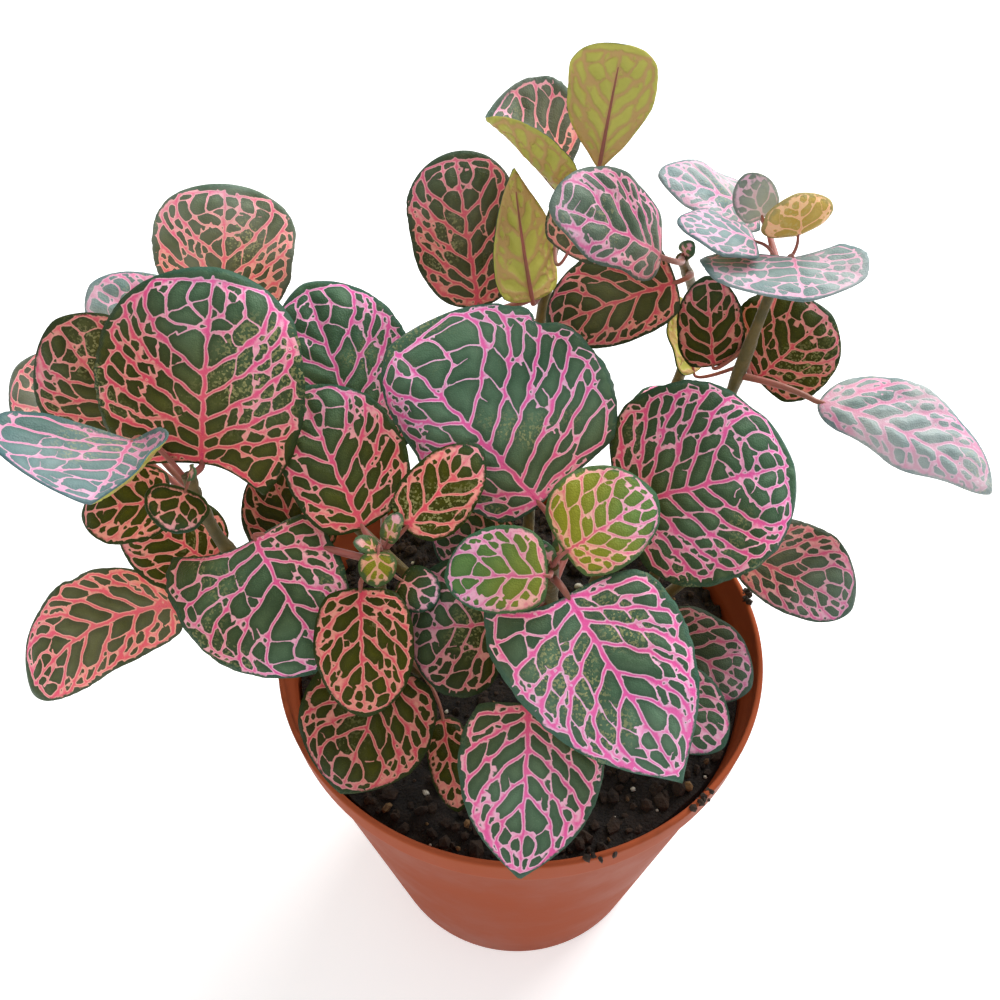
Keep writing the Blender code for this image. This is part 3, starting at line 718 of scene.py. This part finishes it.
class Blade:
    """One blade laid flat: x to the left and y from base to tip."""

    def __init__(self, name, leaf):
        self.shape = SHAPES.get(name, USUAL_SHAPE)
        self.notch = NOTCHES.get(name)
        self.left, self.right = leaf.left, leaf.right
        self.length = blade_frame(leaf)[4]
        self.rng = random.Random(name)
        self.size = min(max((self.length / USUAL_LENGTH) ** 0.75, 0.36), 1.05)
        self.lines = []
        self.pairs = 3 + sum(self.length > limit for limit in PAIR_LENGTHS)
        self.starts = {}
        self.ends = {}

    def half(self, along, side):
        """The half width at a place, on the side of the midrib that it lies on."""
        return half_width(self.shape, along) * np.where(side > 0, self.left, self.right)

    def flat(self, along, side):
        """The points, in millimetres, of places given as shares."""
        along = np.asarray(along, float)
        side = np.asarray(side, float)
        reach = lobed(self.shape, along, side)
        return np.stack([side * self.half(along, side), reach * self.length], axis=-1)

    def net_places(self):
        """Places evenly spread over the blade, a little shaken."""
        wide = max(self.left, self.right)
        places = []
        for row, y in enumerate(np.arange(0.0, self.length, CELL_STEP * 0.87)):
            for x in np.arange(-wide, wide, CELL_STEP) + (CELL_STEP / 2) * (row % 2):
                shaken = x + self.rng.uniform(-0.12, 0.12)
                along = (y + self.rng.uniform(-0.12, 0.12)) / self.length
                places.append((along, shaken))
        places = np.array(places)
        places = places[(places[:, 0] > 0.005) & (places[:, 0] < 0.995)]
        places[:, 1] /= np.maximum(self.half(*places.T), 1e-3)
        return places[np.abs(places[:, 1]) < 0.995]

    def outline(self):
        """The margin as evenly spaced places, with small dents."""
        rising = 0.5 - 0.5 * np.cos(np.linspace(0.0, math.pi, 300))
        along = np.concatenate([rising, rising[::-1][1:]])
        side = np.concatenate([np.ones(300), -np.ones(299)])
        travel = travelled(self.flat(along, side))
        count = max(int(travel[-1] / EDGE_STEP), 16)
        at = np.linspace(0.0, travel[-1], count, endpoint=False)
        along, side = np.interp(at, travel, along), np.sign(np.interp(at, travel, side))
        even = self.flat(along, side)
        dents = np.array([
            0.022 * abs(noise.noise(Vector((x * 0.9, y * 0.9, self.left))))
            + 0.036 * abs(noise.noise(Vector((x * 0.15, y * 0.15, self.right))))
            for x, y in even
        ])
        if self.notch:
            turn, place, depth = self.notch
            near = np.exp(-((even[:, 1] / self.length - place) / 0.05) ** 2) * (side == turn)
            dents += depth * near
        shrink = 1.0 - np.maximum(dents, 0.002)
        return np.stack([along, side * shrink], axis=1)

    # Veins. A place is (along, side), with side always positive here.

    def plan_pairs(self, sign):
        wide = self.left if sign > 0 else self.right
        low = 0.15 - 0.3 * min(self.shape[1 if sign > 0 else 2], 0.2)
        for rank in range(self.pairs):
            share = rank / (self.pairs - 1)
            shift = self.rng.uniform(-0.02, 0.02)
            end = low + (LAST_END - low) * share ** 0.9 + self.rng.uniform(-0.015, 0.015)
            start = 0.02 + START_SPAN * share ** 1.4 + max(shift, -0.01)
            self.starts[sign, rank] = max(start, end - 0.95 * wide / self.length)
            self.ends[sign, rank] = end
        self.starts[sign, self.pairs] = self.starts[sign, self.pairs - 1] + 0.06
        self.ends[sign, self.pairs] = 0.96

    def on_pair(self, sign, rank, t):
        """A place on a side vein; the one after the last is the midrib itself."""
        start, end = self.starts[sign, rank], self.ends[sign, rank]
        if rank == self.pairs:
            return start + (end - start) * t, 0.0
        return start + (end - start) * (0.7 * t + 0.3 * t * t), SIDE_END * t

    def between(self, sign, rank, q, t):
        low, high = self.on_pair(sign, rank, t), self.on_pair(sign, rank + 1, t)
        return low[0] + (high[0] - low[0]) * q, low[1] + (high[1] - low[1]) * q

    def apart(self, first, last):
        """The distance between two places, in millimetres."""
        return np.linalg.norm(self.flat(*first) - self.flat(*last))

    def add_line(self, sign, places, girths, major=False, wave=0.25):
        """A wavy vein through places, with its half widths at start and end."""
        places = np.array(places, float)
        places[:, 1] *= sign
        travel = travelled(self.flat(*places.T))
        count = max(int(travel[-1] / VEIN_STEP) + 1, 2)
        at = np.linspace(0.0, travel[-1], count)
        along, side = (np.interp(at, travel, places[:, axis]) for axis in (0, 1))
        even = self.flat(along, side)
        share = at / max(travel[-1], 1e-6)
        ahead = np.gradient(even, axis=0) if count > 2 else np.tile(even[-1] - even[0], (count, 1))
        ahead /= np.maximum(np.linalg.norm(ahead, axis=1), 1e-6)[:, None]
        phase = self.rng.uniform(0.0, math.tau)
        turns = np.sin(share * travel[-1] / self.rng.uniform(0.7, 1.3) + phase)
        sway = wave * turns * np.sin(share * math.pi)
        half = np.maximum(self.half(along, sign), 1.0)
        along = np.clip(along + ahead[:, 0] * sway / self.length, 0.0, VEIN_LIMIT)
        side = np.clip(side - ahead[:, 1] * sway / half, -VEIN_LIMIT, VEIN_LIMIT)
        start, end = girths
        widths = (start + (end - start) * share) * self.size
        widths *= 1.0 + 0.10 * np.sin(share * travel[-1] * 1.3 + phase)
        line = np.stack([along, side], axis=1)
        self.lines.append((self.flat(along, side), widths, major, line))

    def grow(self):
        self.add_line(1, [(t, 0.0) for t in np.linspace(0.0, 0.95, 20)], MIDRIB, True, 0.2)
        for sign in (1, -1):
            self.grow_half(sign)

    def grow_half(self, sign):
        self.plan_pairs(sign)
        steps = np.linspace(0.0, 1.0, 16)
        for rank in range(self.pairs):
            self.add_line(sign, [self.on_pair(sign, rank, t) for t in steps], SIDE_VEIN, True)
        for rank in range(self.pairs):
            self.add_loop(sign, rank)
            self.add_fork(sign, rank)
        self.add_line(sign, [(0.0, 0.0), (0.02, 0.3), (0.035, 0.6), (0.05, 0.85)], BASE_LOOP)
        for t in (0.3, 0.55, 0.8):
            t += self.rng.uniform(-0.08, 0.08)
            start = self.on_pair(sign, 0, t)
            self.add_line(sign, [start, (0.05 * t + 0.01, start[1] + 0.02)], BASE_TWIG)

    def add_loop(self, sign, rank):
        """The arch that ties a side vein's end to the next one, with its fringe."""
        rng = self.rng
        last = rank == self.pairs - 1
        start = self.on_pair(sign, rank, 1.0)
        end = self.on_pair(sign, rank + 1, rng.uniform(0.9, 0.97))
        knee = (start[0] * 0.45 + end[0] * 0.55, 0.8 if last else 0.94)
        places = [
            [
                a * (1 - t) ** 2 + b * 2 * t * (1 - t) + c * t * t
                for a, b, c in zip(start, knee, end)
            ]
            for t in np.linspace(0.0, 1.0, 12)
        ]
        self.add_line(sign, places, LOOP, major=True, wave=0.15)
        count = int(self.apart(start, end) / (3.4 * self.size ** 0.4)) + (not last)
        tips = []
        for index in range(count):
            t = (index + rng.uniform(0.3, 0.7)) / count
            along, side = places[min(int(t * len(places)), len(places) - 1)]
            tip = (along + rng.uniform(-0.01, 0.02), min(side + rng.uniform(0.05, 0.09), 0.97))
            self.add_line(sign, [(along, side), tip], FRINGE, wave=0.05)
            tips.append(tip)
        for tip, following in zip(tips, tips[1:]):
            if rng.random() < 0.4 and self.size > 0.6:
                self.add_line(sign, [tip, following], FRINGE_TIE, wave=0.1)

    def add_fork(self, sign, rank):
        """The branches in the strip above a side vein, and the links across it."""
        rng = self.rng
        last = rank == self.pairs - 1
        begin = rng.uniform(0.30, 0.5) * (0.6 if last else 1.0)
        gap = max(
            self.apart(self.on_pair(sign, rank, t), self.on_pair(sign, rank + 1, t))
            for t in ((0.5, 0.8) if last else (0.8,))
        )
        forks = sum(gap > limit * self.size ** 0.3 for limit in FORK_GAPS)
        shake = rng.uniform(-0.08, 0.08)
        middles = [(index + 1) / (forks + 1) + shake / forks for index in range(forks)]
        for index, middle in enumerate(middles):
            leave = begin + 0.13 * index
            places = [self.between(sign, rank, 1.0, leave)]
            for t in np.linspace(leave + 0.12, 0.96, 9):
                ease = min((t - leave) / 0.34, 1.0)
                q = 1.0 + (middle - 1.0) * ease * ease * (3 - 2 * ease)
                places.append(self.between(sign, rank, q + 0.04 * math.sin(t * 9 + rank), t))
            along, side = places[-1]
            places.append((along + 0.01, side + 0.05 * (not last)))
            self.add_line(sign, places, FORK)
        edges = [0.0, *middles, 1.0]
        self.add_links(sign, rank, (0.0, 1.0), 0.10, begin)
        for strip in zip(edges, edges[1:]):
            self.add_links(sign, rank, strip, begin, 0.97)

    def add_links(self, sign, rank, strip, t, finish):
        """Cross links from t to finish along a strip, and free ends between them."""
        rng = self.rng
        low, high = strip
        reach = self.apart(self.on_pair(sign, rank, 1.0), self.on_pair(sign, rank, 0.0))
        t += 1.2 * rng.uniform(0.5, 1.0) / reach
        while t < finish:
            wide = self.apart(self.between(sign, rank, low, t), self.between(sign, rank, high, t))
            step = min(max(1.5 * wide, 4.4 * self.size ** 0.6), 9.0 * self.size)
            step *= rng.uniform(0.75, 1.25)
            if t + 0.5 * step / reach < finish and wide > 1.5 * self.size:
                self.add_link(sign, rank, strip, t + 0.5 * step / reach)
                if wide > 3.4 * self.size and rng.random() < 0.5:
                    self.add_free_end(sign, rank, strip, t + 0.2 * step / reach)
            t += step / reach

    def add_link(self, sign, rank, strip, t):
        rng = self.rng
        low, high = strip
        slant = rng.uniform(0.0, 0.08)
        knee_t = min(t + slant * rng.uniform(-0.2, 1.0), 0.99)
        places = [
            self.between(sign, rank, low, t),
            self.between(sign, rank, (low + high) / 2, knee_t),
            self.between(sign, rank, high, min(t + slant, 0.99)),
        ]
        girths = (rng.uniform(*LINK_RANGE), rng.uniform(*LINK_RANGE))
        self.add_line(sign, places, girths, wave=0.2)

    def add_free_end(self, sign, rank, strip, t):
        """A short free end that runs into a cell."""
        rng = self.rng
        low, high = strip
        q = high + (low - high) * rng.uniform(0.35, 0.6)
        end = self.between(sign, rank, q, min(t + rng.uniform(0.0, 0.1), 0.98))
        self.add_line(sign, [self.between(sign, rank, high, t), end], FREE_END, wave=0.2)

    def vein_reach(self, points, majors_only=False):
        """How far inside a vein each point is, and that vein's girth."""
        starts, ends, first, last, heads, total = [], [], [], [], [], 0
        for line, widths, major, _ in self.lines:
            if major or not majors_only:
                heads.append(total)
                total += len(line) - 1
                starts.append(line[:-1])
                ends.append(line[1:])
                first.append(widths[:-1])
                last.append(widths[1:])
        a, b = np.concatenate(starts), np.concatenate(ends)
        start_width, end_width = np.concatenate(first), np.concatenate(last)
        best = np.full(len(points), -99.0)
        girth = np.zeros(len(points))
        for begin in range(0, len(points), 400):
            part = points[begin:begin + 400]
            far, t = line_distance(part, a, b)
            width = start_width + t * (end_width - start_width)
            inside = width - far
            pick = inside.argmax(1)
            lines = np.maximum.reduceat(inside, heads, axis=1)
            peak = lines.max(1)
            blend = np.exp((lines - peak[:, None]) / JOIN).sum(1)
            best[begin:begin + 400] = peak + JOIN * np.log(blend)
            girth[begin:begin + 400] = width[np.arange(len(part)), pick]
        return best, girth


def line_distance(points, a, b):
    """Each point's distance from each line a to b, and how far along it is nearest."""
    ab = b - a
    size = np.maximum((ab ** 2).sum(1), 1e-9)
    t = np.clip(((points[:, None] - a) * ab).sum(2) / size, 0.0, 1.0)
    return np.linalg.norm(points[:, None] - (a + t[..., None] * ab), axis=2), t


def margin_distance(points, ring):
    return line_distance(points, ring, np.roll(ring, -1, axis=0))[0].min(1)


def spread_apart(points, gap):
    """The numbers of the points kept when none may lie within gap of another."""
    kept, cells = [], {}
    for index, (x, y) in enumerate(points):
        home = (int(x // gap), int(y // gap))
        near = [
            other for dx in (-1, 0, 1) for dy in (-1, 0, 1)
            for other in cells.get((home[0] + dx, home[1] + dy), ())
        ]
        if all((x - points[o][0]) ** 2 + (y - points[o][1]) ** 2 > gap * gap for o in near):
            kept.append(index)
            cells.setdefault(home, []).append(index)
    return kept


def blade_net(blade):
    """A fine net that follows the veins and cells: places, points, faces and margin."""
    rim_places = blade.outline()
    ring = blade.flat(*rim_places.T)
    places = np.concatenate([line[3] for line in blade.lines] + [blade.net_places()])
    inner = blade.flat(*places.T)
    inside = margin_distance(inner, ring) > RIM_GAP
    inside &= (np.abs(places[:, 1]) < VEIN_LIMIT) & (places[:, 0] > 0.004)
    places, inner = places[inside], inner[inside]
    kept = spread_apart(inner, POINT_GAP)
    places = np.concatenate([rim_places, places[kept]])
    points = np.concatenate([ring, inner[kept]])
    edges = [(index, (index + 1) % len(ring)) for index in range(len(ring))]
    _, _, faces, origins, _, _ = delaunay_2d_cdt(
        [Vector(point) for point in points], edges, [], 1, 1e-5,
    )
    pick = [origin[0] for origin in origins]
    return places[pick].T, points[pick], faces, margin_distance(points[pick], ring)


def blade_mesh(name, leaf):
    """The blade's upper sheet, with the fields its skin is painted by."""
    blade = Blade(name, leaf)
    blade.grow()
    (along, side), points, faces, rim = blade_net(blade)
    reach, girth = blade.vein_reach(points)
    broad, _ = blade.vein_reach(points, majors_only=True)
    inside = smooth(0.0, 1.6, rim)
    lift = CELL_RISE * blade.size * smooth(0.0, 1.1, -reach) * inside
    lift += FIELD_RISE * blade.size * smooth(0.0, 2.8, -broad) * inside
    lift -= RIM_FALL * (1.0 - smooth(0.0, 1.5, rim))
    phase = np.where(side > 0, blade.rng.uniform(0, 6.28), blade.rng.uniform(0, 6.28))
    ripple = np.sin(along * blade.rng.uniform(9.0, 13.0) + phase)
    lift += blade.size * smooth(0.45, 1.0, np.abs(side)) * ripple * np.sin(np.pi * along)

    mesh = bpy.data.meshes.new(name)
    corners = blade_surface(name, along, side, lift) * MM
    mesh.from_pydata(corners.tolist(), [], [face[::-1] for face in faces])
    # The tint's lightness is partly the leaf's own tone and partly painted light and shade.
    cool, light, painted_sky_reflection = leaf.tint
    fields = {
        "vein": reach, "girth": girth, "margin": rim, "cool": cool + 0.5 * (along - 0.45),
        "tone_and_painted_light": np.full(len(points), light), "painted_sky_reflection": np.full(len(points), painted_sky_reflection),
    }
    for label, values in fields.items():
        layer = mesh.attributes.new(label, "FLOAT", "POINT")
        layer.data.foreach_set("value", np.asarray(values, np.float32))
    mesh.shade_smooth()
    return mesh


def place_object(name, data, *materials):
    obj = bpy.data.objects.new(name, data)
    bpy.context.scene.collection.objects.link(obj)
    for mat in materials:
        data.materials.append(mat)
    return obj


def mesh_of(name, bm):
    """The bmesh as a mesh; the bmesh is freed."""
    mesh = bpy.data.meshes.new(name)
    bm.to_mesh(mesh)
    bm.free()
    return mesh


def applied(obj):
    """The object's mesh with its modifiers worked in; the object is removed."""
    graph = bpy.context.evaluated_depsgraph_get()
    mesh = bpy.data.meshes.new_from_object(obj.evaluated_get(graph))
    mesh.name = obj.name
    bpy.data.objects.remove(obj)
    return mesh


def tube_mesh(name, points, radii, sides=3):
    """A round tube along points, with closed ends."""
    curve = bpy.data.curves.new(name, "CURVE")
    curve.dimensions = "3D"
    curve.bevel_depth = MM
    curve.bevel_resolution = sides
    curve.use_fill_caps = True
    spline = curve.splines.new("POLY")
    spline.points.add(len(points) - 1)
    for knot, point, radius in zip(spline.points, points, radii):
        knot.co = (*(Vector(point) * MM), 1.0)
        knot.radius = radius
    mesh = applied(place_object(name, curve))
    mesh.shade_smooth()
    return mesh


def joined(name, objects):
    """One object made of several, which keeps their materials and attributes."""
    with bpy.context.temp_override(active_object=objects[0], selected_editable_objects=objects):
        bpy.ops.object.join()
    objects[0].name = name
    return objects[0]


# ---------------------------------------------------------------- stems

def smooth_line(points, count):
    """Evenly numbered points along a Catmull-Rom curve through the given ones."""
    ends = [2 * points[0] - points[1], *points, 2 * points[-1] - points[-2]]
    spans = len(points) - 1
    line = []
    for index in range(count):
        place = spans * index / (count - 1)
        span = min(int(place), spans - 1)
        t = place - span
        a, b, c, d = ends[span:span + 4]
        line.append(0.5 * (
            2 * b + (c - a) * t + (2 * a - 5 * b + 4 * c - d) * t ** 2
            + (3 * b - a - 3 * c + d) * t ** 3
        ))
    return line


def stem_line(stem, count):
    foot, *rest = STEMS[stem]
    start = Vector((*foot, SOIL_LEVEL + SOIL_CROWN))
    return smooth_line([start] + [Vector(point) for point in rest], count)


def point_on_stem(stem, along):
    line = stem_line(stem, STEM_KNOTS)
    place = along * (len(line) - 1)
    index = min(int(place), len(line) - 2)
    axis = (line[index + 1] - line[index]).normalized()
    return line[index].lerp(line[index + 1], place - index), axis


def stalk_object(name, leaf, mat):
    """The leaf stalk, which runs on under the blade as its keel."""
    base, forward, _, up, length = blade_frame(leaf)
    base, forward, up = Vector(base), Vector(forward), Vector(up)
    node, axis = point_on_stem(leaf.stem, leaf.along)
    out = base - node
    out -= axis * out.dot(axis) * 0.8
    start = node + out.normalized() * 0.4
    ahead = (base - start).normalized().dot(forward)
    knee = base - forward * (base - start).length * (0.4 if ahead > 0.0 else 0.12)
    knee.z -= 1.2 * (ahead <= 0.0)
    size = min(max(length / 36.0, 0.5), 1.0)
    finish = base - up * 0.7 * size
    points, radii = [], []
    for t in np.linspace(0.0, 0.96, STALK_POINTS):
        points.append(start * (1 - t) ** 2 + knee * 2 * t * (1 - t) + finish * t ** 2)
        radii.append((STALK_RADIUS - 0.3 * t) * size)
    keel = np.linspace(0.05, 0.82, STALK_POINTS)
    girth = 0.58 * size * (1.0 - keel) + 0.08
    under = blade_surface(name, keel, np.full(STALK_POINTS, 1e-6), -(girth * 0.75 + 0.2))
    points += [Vector(point) for point in under]
    radii += list(girth)
    return place_object(name + "_stalk", tube_mesh(name + "_stalk", points, radii), mat)


def make_leaf(name, skins):
    leaf = ALL_LEAVES[name]
    paint = PAINT_OF.get(name, "young" if name in BUDS else "grown")
    age = "young" if paint in ("young", "amber") else "grown"
    full_name = name + "_veined"
    sheet = place_object(full_name, blade_mesh(name, leaf), skins[paint], skins[age + "_under"])
    skin = sheet.modifiers.new("thickness", "SOLIDIFY")
    skin.thickness = BLADE_THICKNESS * MM
    skin.offset = -1.0
    skin.material_offset = 1
    blade = place_object(full_name, applied(sheet))
    whole = joined(full_name, [blade, stalk_object(name, leaf, skins["stalk_skin"])])
    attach(whole, "root")
    if name in LEAVES:
        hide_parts(name)


def make_stem(stem, mat):
    name = "stem_" + stem
    points = stem_line(stem, STEM_RINGS)
    points[0].z -= 3.0
    nodes = sorted({leaf.along for leaf in LEAVES.values() if leaf.stem == stem})
    radii = []
    for along in np.linspace(0.0, 1.0, STEM_RINGS):
        swell = sum(math.exp(-((along - node) / 0.025) ** 2) for node in nodes)
        radii.append(STEM_FOOT + (STEM_TOP - STEM_FOOT) * along + NODE_SWELL * min(swell, 1.0))
    piece = place_object(name + "_skin", tube_mesh(name, points, radii, 4), mat)
    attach(piece, "root")
    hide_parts(name)


# ---------------------------------------------------------------- pot and soil

def turned(name, profile, sides):
    """A solid turned about Z from a profile of (radius, height)."""
    bm = bmesh.new()
    points = [bm.verts.new((radius * MM, 0.0, height * MM)) for radius, height in profile]
    edges = [bm.edges.new(pair) for pair in zip(points, points[1:])]
    bmesh.ops.spin(
        bm, geom=points + edges, cent=(0, 0, 0), axis=(0, 0, 1), dvec=(0, 0, 0),
        angle=math.tau, steps=sides, use_merge=True, use_duplicate=False,
    )
    bmesh.ops.remove_doubles(bm, verts=bm.verts, dist=1e-6)
    bmesh.ops.recalc_face_normals(bm, faces=bm.faces)
    mesh = mesh_of(name, bm)
    mesh.shade_smooth()
    mesh.set_sharp_from_angle(angle=math.radians(35))
    return mesh


def wall_radius(height):
    """The outside radius of the tapered wall at a height."""
    body_top = POT_HEIGHT - COLLAR_HEIGHT
    return BASE_RADIUS + (RIM_RADIUS - COLLAR_STEP - 0.8 - BASE_RADIUS) * height / body_top


def pot_profile():
    """The pot's cut from the middle of its foot over the lip to the middle of its floor."""
    foot = POT_HEIGHT - COLLAR_HEIGHT
    lip = [
        (
            RIM_RADIUS - LIP_RADIUS + LIP_RADIUS * math.cos(turn),
            POT_HEIGHT - LIP_RADIUS + LIP_RADIUS * math.sin(turn),
        )
        for turn in np.linspace(0.0, math.pi, 9)
    ]
    base = [(4.0, 0.7), (3.4, 0.15), (3.0, 0.0), (0.9, 0.0), (0.2, 0.25)]
    collar = [(1.2, foot + 0.1), (0.85, foot + 0.5), (0.75, foot + 1.2), (0.1, POT_HEIGHT - 1.6)]
    return [
        (0.0, 0.7), *((BASE_RADIUS - inset, height) for inset, height in base),
        *((wall_radius(height), height) for height in (1.2, 30.0, 62.0, foot - 0.6)),
        (wall_radius(foot) + 0.15, foot - 0.1),
        *((RIM_RADIUS - inset, height) for inset, height in collar), *lip,
        (RIM_RADIUS - WALL - 0.05, POT_HEIGHT - 1.6), (RIM_RADIUS - WALL - 0.7, foot + 1.0),
        (wall_radius(foot) - WALL, foot - 1.0), (wall_radius(FLOOR + 1.0) - WALL, FLOOR + 1.0),
        (wall_radius(FLOOR) - WALL - 1.0, FLOOR), (0.0, FLOOR),
    ]


def make_pot(mat):
    piece = place_object("pot_shell", turned("pot_shell", pot_profile(), POT_SIDES), mat)
    bm = bmesh.new()
    for index in range(DRAIN_HOLES):
        turn = math.tau * (index + 0.5) / DRAIN_HOLES
        peg = bmesh.ops.create_cone(
            bm, cap_ends=True, segments=32, radius1=DRAIN_RADIUS * MM,
            radius2=DRAIN_RADIUS * MM, depth=8 * MM,
        )
        spot = Vector((DRAIN_CIRCLE * math.cos(turn), DRAIN_CIRCLE * math.sin(turn), 1.0))
        bmesh.ops.translate(bm, verts=peg["verts"], vec=spot * MM)
    drill = place_object("drill", mesh_of("drill", bm))
    cut = piece.modifiers.new("drain holes", "BOOLEAN")
    cut.operation = "DIFFERENCE"
    cut.solver = "EXACT"
    cut.object = drill
    mesh = applied(piece)
    bpy.data.objects.remove(drill)
    pot = place_object("pot_shell", mesh)
    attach(pot, "root")
    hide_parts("pot")


def soil_height(x, y):
    """The height of the loose soil at a place."""
    low = noise.noise(Vector((x * 0.06, y * 0.06, 3.1))) * 2.2
    lumps = noise.noise(Vector((x * 0.28, y * 0.28, 7.7))) * 1.3
    grit = noise.noise(Vector((x * 0.9, y * 0.9, 1.3))) * 0.7
    far = math.hypot(x, y) / (RIM_RADIUS - WALL)
    return SOIL_LEVEL - 0.6 + low + lumps + grit - 1.2 * far ** 6


def make_soil(mat):
    shoulder = POT_HEIGHT - COLLAR_HEIGHT - 1.0
    outer = wall_radius(shoulder) - WALL - 0.4
    low = FLOOR + 0.3
    profile = [(0.0, low), (wall_radius(FLOOR) - WALL - 1.4, low), (outer, shoulder - 4.0)]
    profile += [(radius, SOIL_LEVEL) for radius in np.linspace(outer - 0.5, 0.0, SOIL_RINGS)]
    mesh = turned("soil_loose", profile, SOIL_SIDES)
    for vert in mesh.vertices:
        if vert.co.z > (SOIL_LEVEL - 0.5) * MM:
            vert.co.z = soil_height(vert.co.x / MM, vert.co.y / MM) * MM
    mesh.update()
    piece = place_object("soil_loose", mesh, mat)
    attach(piece, "root")
    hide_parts("soil")


def lump(bm, centre, size, rng, fineness):
    """A rough grain: a small ball with each corner pushed in or out."""
    ball = bmesh.ops.create_icosphere(bm, subdivisions=fineness, radius=1.0)
    stretch = Vector([rng.uniform(0.65, 1.35) for _ in range(3)])
    turn = rng.uniform(0.0, math.tau)
    for vert in ball["verts"]:
        reach = size * rng.uniform(0.75, 1.2)
        x, y, z = (vert.co[axis] * stretch[axis] * reach for axis in range(3))
        vert.co = Vector((
            centre[0] + x * math.cos(turn) - y * math.sin(turn),
            centre[1] + x * math.sin(turn) + y * math.cos(turn), centre[2] + z,
        )) * MM


def make_grains(name, bm, mat):
    piece = place_object(name, mesh_of(name, bm), mat)
    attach(piece, "root")
    return piece


def scatter(name, mat, seed, count, sizes, fineness, rise):
    """Grains of one kind lying over the soil."""
    rng = random.Random(seed)
    bm = bmesh.new()
    small, large = sizes
    for _ in range(count):
        far = (RIM_RADIUS - WALL - 3.5) * math.sqrt(rng.random())
        turn = rng.uniform(0.0, math.tau)
        size = small + (large - small) * rng.random() ** 2.2
        x, y = far * math.cos(turn), far * math.sin(turn)
        lump(bm, (x, y, soil_height(x, y) + size * rise), size, rng, fineness)
    piece = make_grains(name, bm, mat)
    if fineness > 1:
        piece.data.shade_smooth()


def rim_crumbs(mat):
    """Crumbs of peat caught on the rim."""
    rng = random.Random("rim crumbs")
    bm = bmesh.new()
    for turn, height, count in RIM_CLUMPS:
        turn = math.radians(turn)
        for _ in range(count):
            spread = rng.gauss(0.0, 0.028)
            reach = RIM_RADIUS + rng.uniform(-0.9, 0.7)
            spot = (
                reach * math.cos(turn + spread), reach * math.sin(turn + spread),
                height + rng.uniform(-0.6, 0.8),
            )
            lump(bm, spot, rng.uniform(0.35, 1.1), rng, 1)
    make_grains("rim_crumbs", bm, mat)


# ---------------------------------------------------------------- stage

def make_stage():
    bm = bmesh.new()
    bmesh.ops.create_grid(bm, x_segments=1, y_segments=1, size=FLOOR_SIZE)
    mat, _, _ = new_material("floor_white", {
        "Base Color": (0.92, 0.92, 0.92, 1.0), "Roughness": 0.9, "Specular IOR Level": 0.1,
        "Emission Color": (1.0, 1.0, 1.0, 1.0), "Emission Strength": FLOOR_GLOW,
    })
    floor = place_object("floor", mesh_of("floor", bm), mat)
    floor.location.z = -FLOOR_DROP


def make_lamp(name, place, size, power):
    lamp = bpy.data.lights.new(name, "AREA")
    lamp.shape = "DISK"
    lamp.size = size
    lamp.energy = power
    obj = place_object(name, lamp)
    obj.location = place
    ahead = Vector(PLANT_MIDDLE) - obj.location
    obj.rotation_euler = ahead.to_track_quat("-Z", "Y").to_euler()


def make_light():
    world = bpy.data.worlds.new("studio")
    bpy.context.scene.world = world
    world.use_nodes = True
    sky = world.node_tree.nodes["Background"]
    sky.inputs["Color"].default_value = (0.97, 0.985, 1.0, 1.0)
    sky.inputs["Strength"].default_value = SKY_GLOW
    for name, settings in LAMPS.items():
        make_lamp(name, *settings)


def make_camera():
    camera = bpy.data.cameras.new("camera")
    camera.sensor_width = SENSOR_WIDTH
    camera.lens = CAMERA_LENS
    camera.clip_start = 0.01
    obj = place_object("camera", camera)
    obj.location = Vector(CAMERA_AT) * MM
    obj.rotation_euler = (math.radians(CAMERA_TILT), 0.0, 0.0)
    bpy.context.scene.camera = obj


def main():
    upper, under = blade_group(), underside_group()
    skins = {paint: blade_material(paint, upper) for paint in PAINTS}
    skins.update({kind + "_under": underside_material(kind, under) for kind in UNDERSIDES})
    skins.update({name: streaked_material(name) for name in STREAKED})

    make_pot(pot_material())
    make_soil(skins["soil_peat"])
    for name, (finish, *settings) in GRAINS.items():
        scatter(name, skins[finish], *settings)
    rim_crumbs(skins["soil_crumb"])
    for stem in STEMS:
        make_stem(stem, skins["stem_skin"])
    for name in ALL_LEAVES:
        make_leaf(name, skins)
    make_stage()
    make_light()
    make_camera()
    bpy.context.scene.view_settings.view_transform = "Standard"


main()
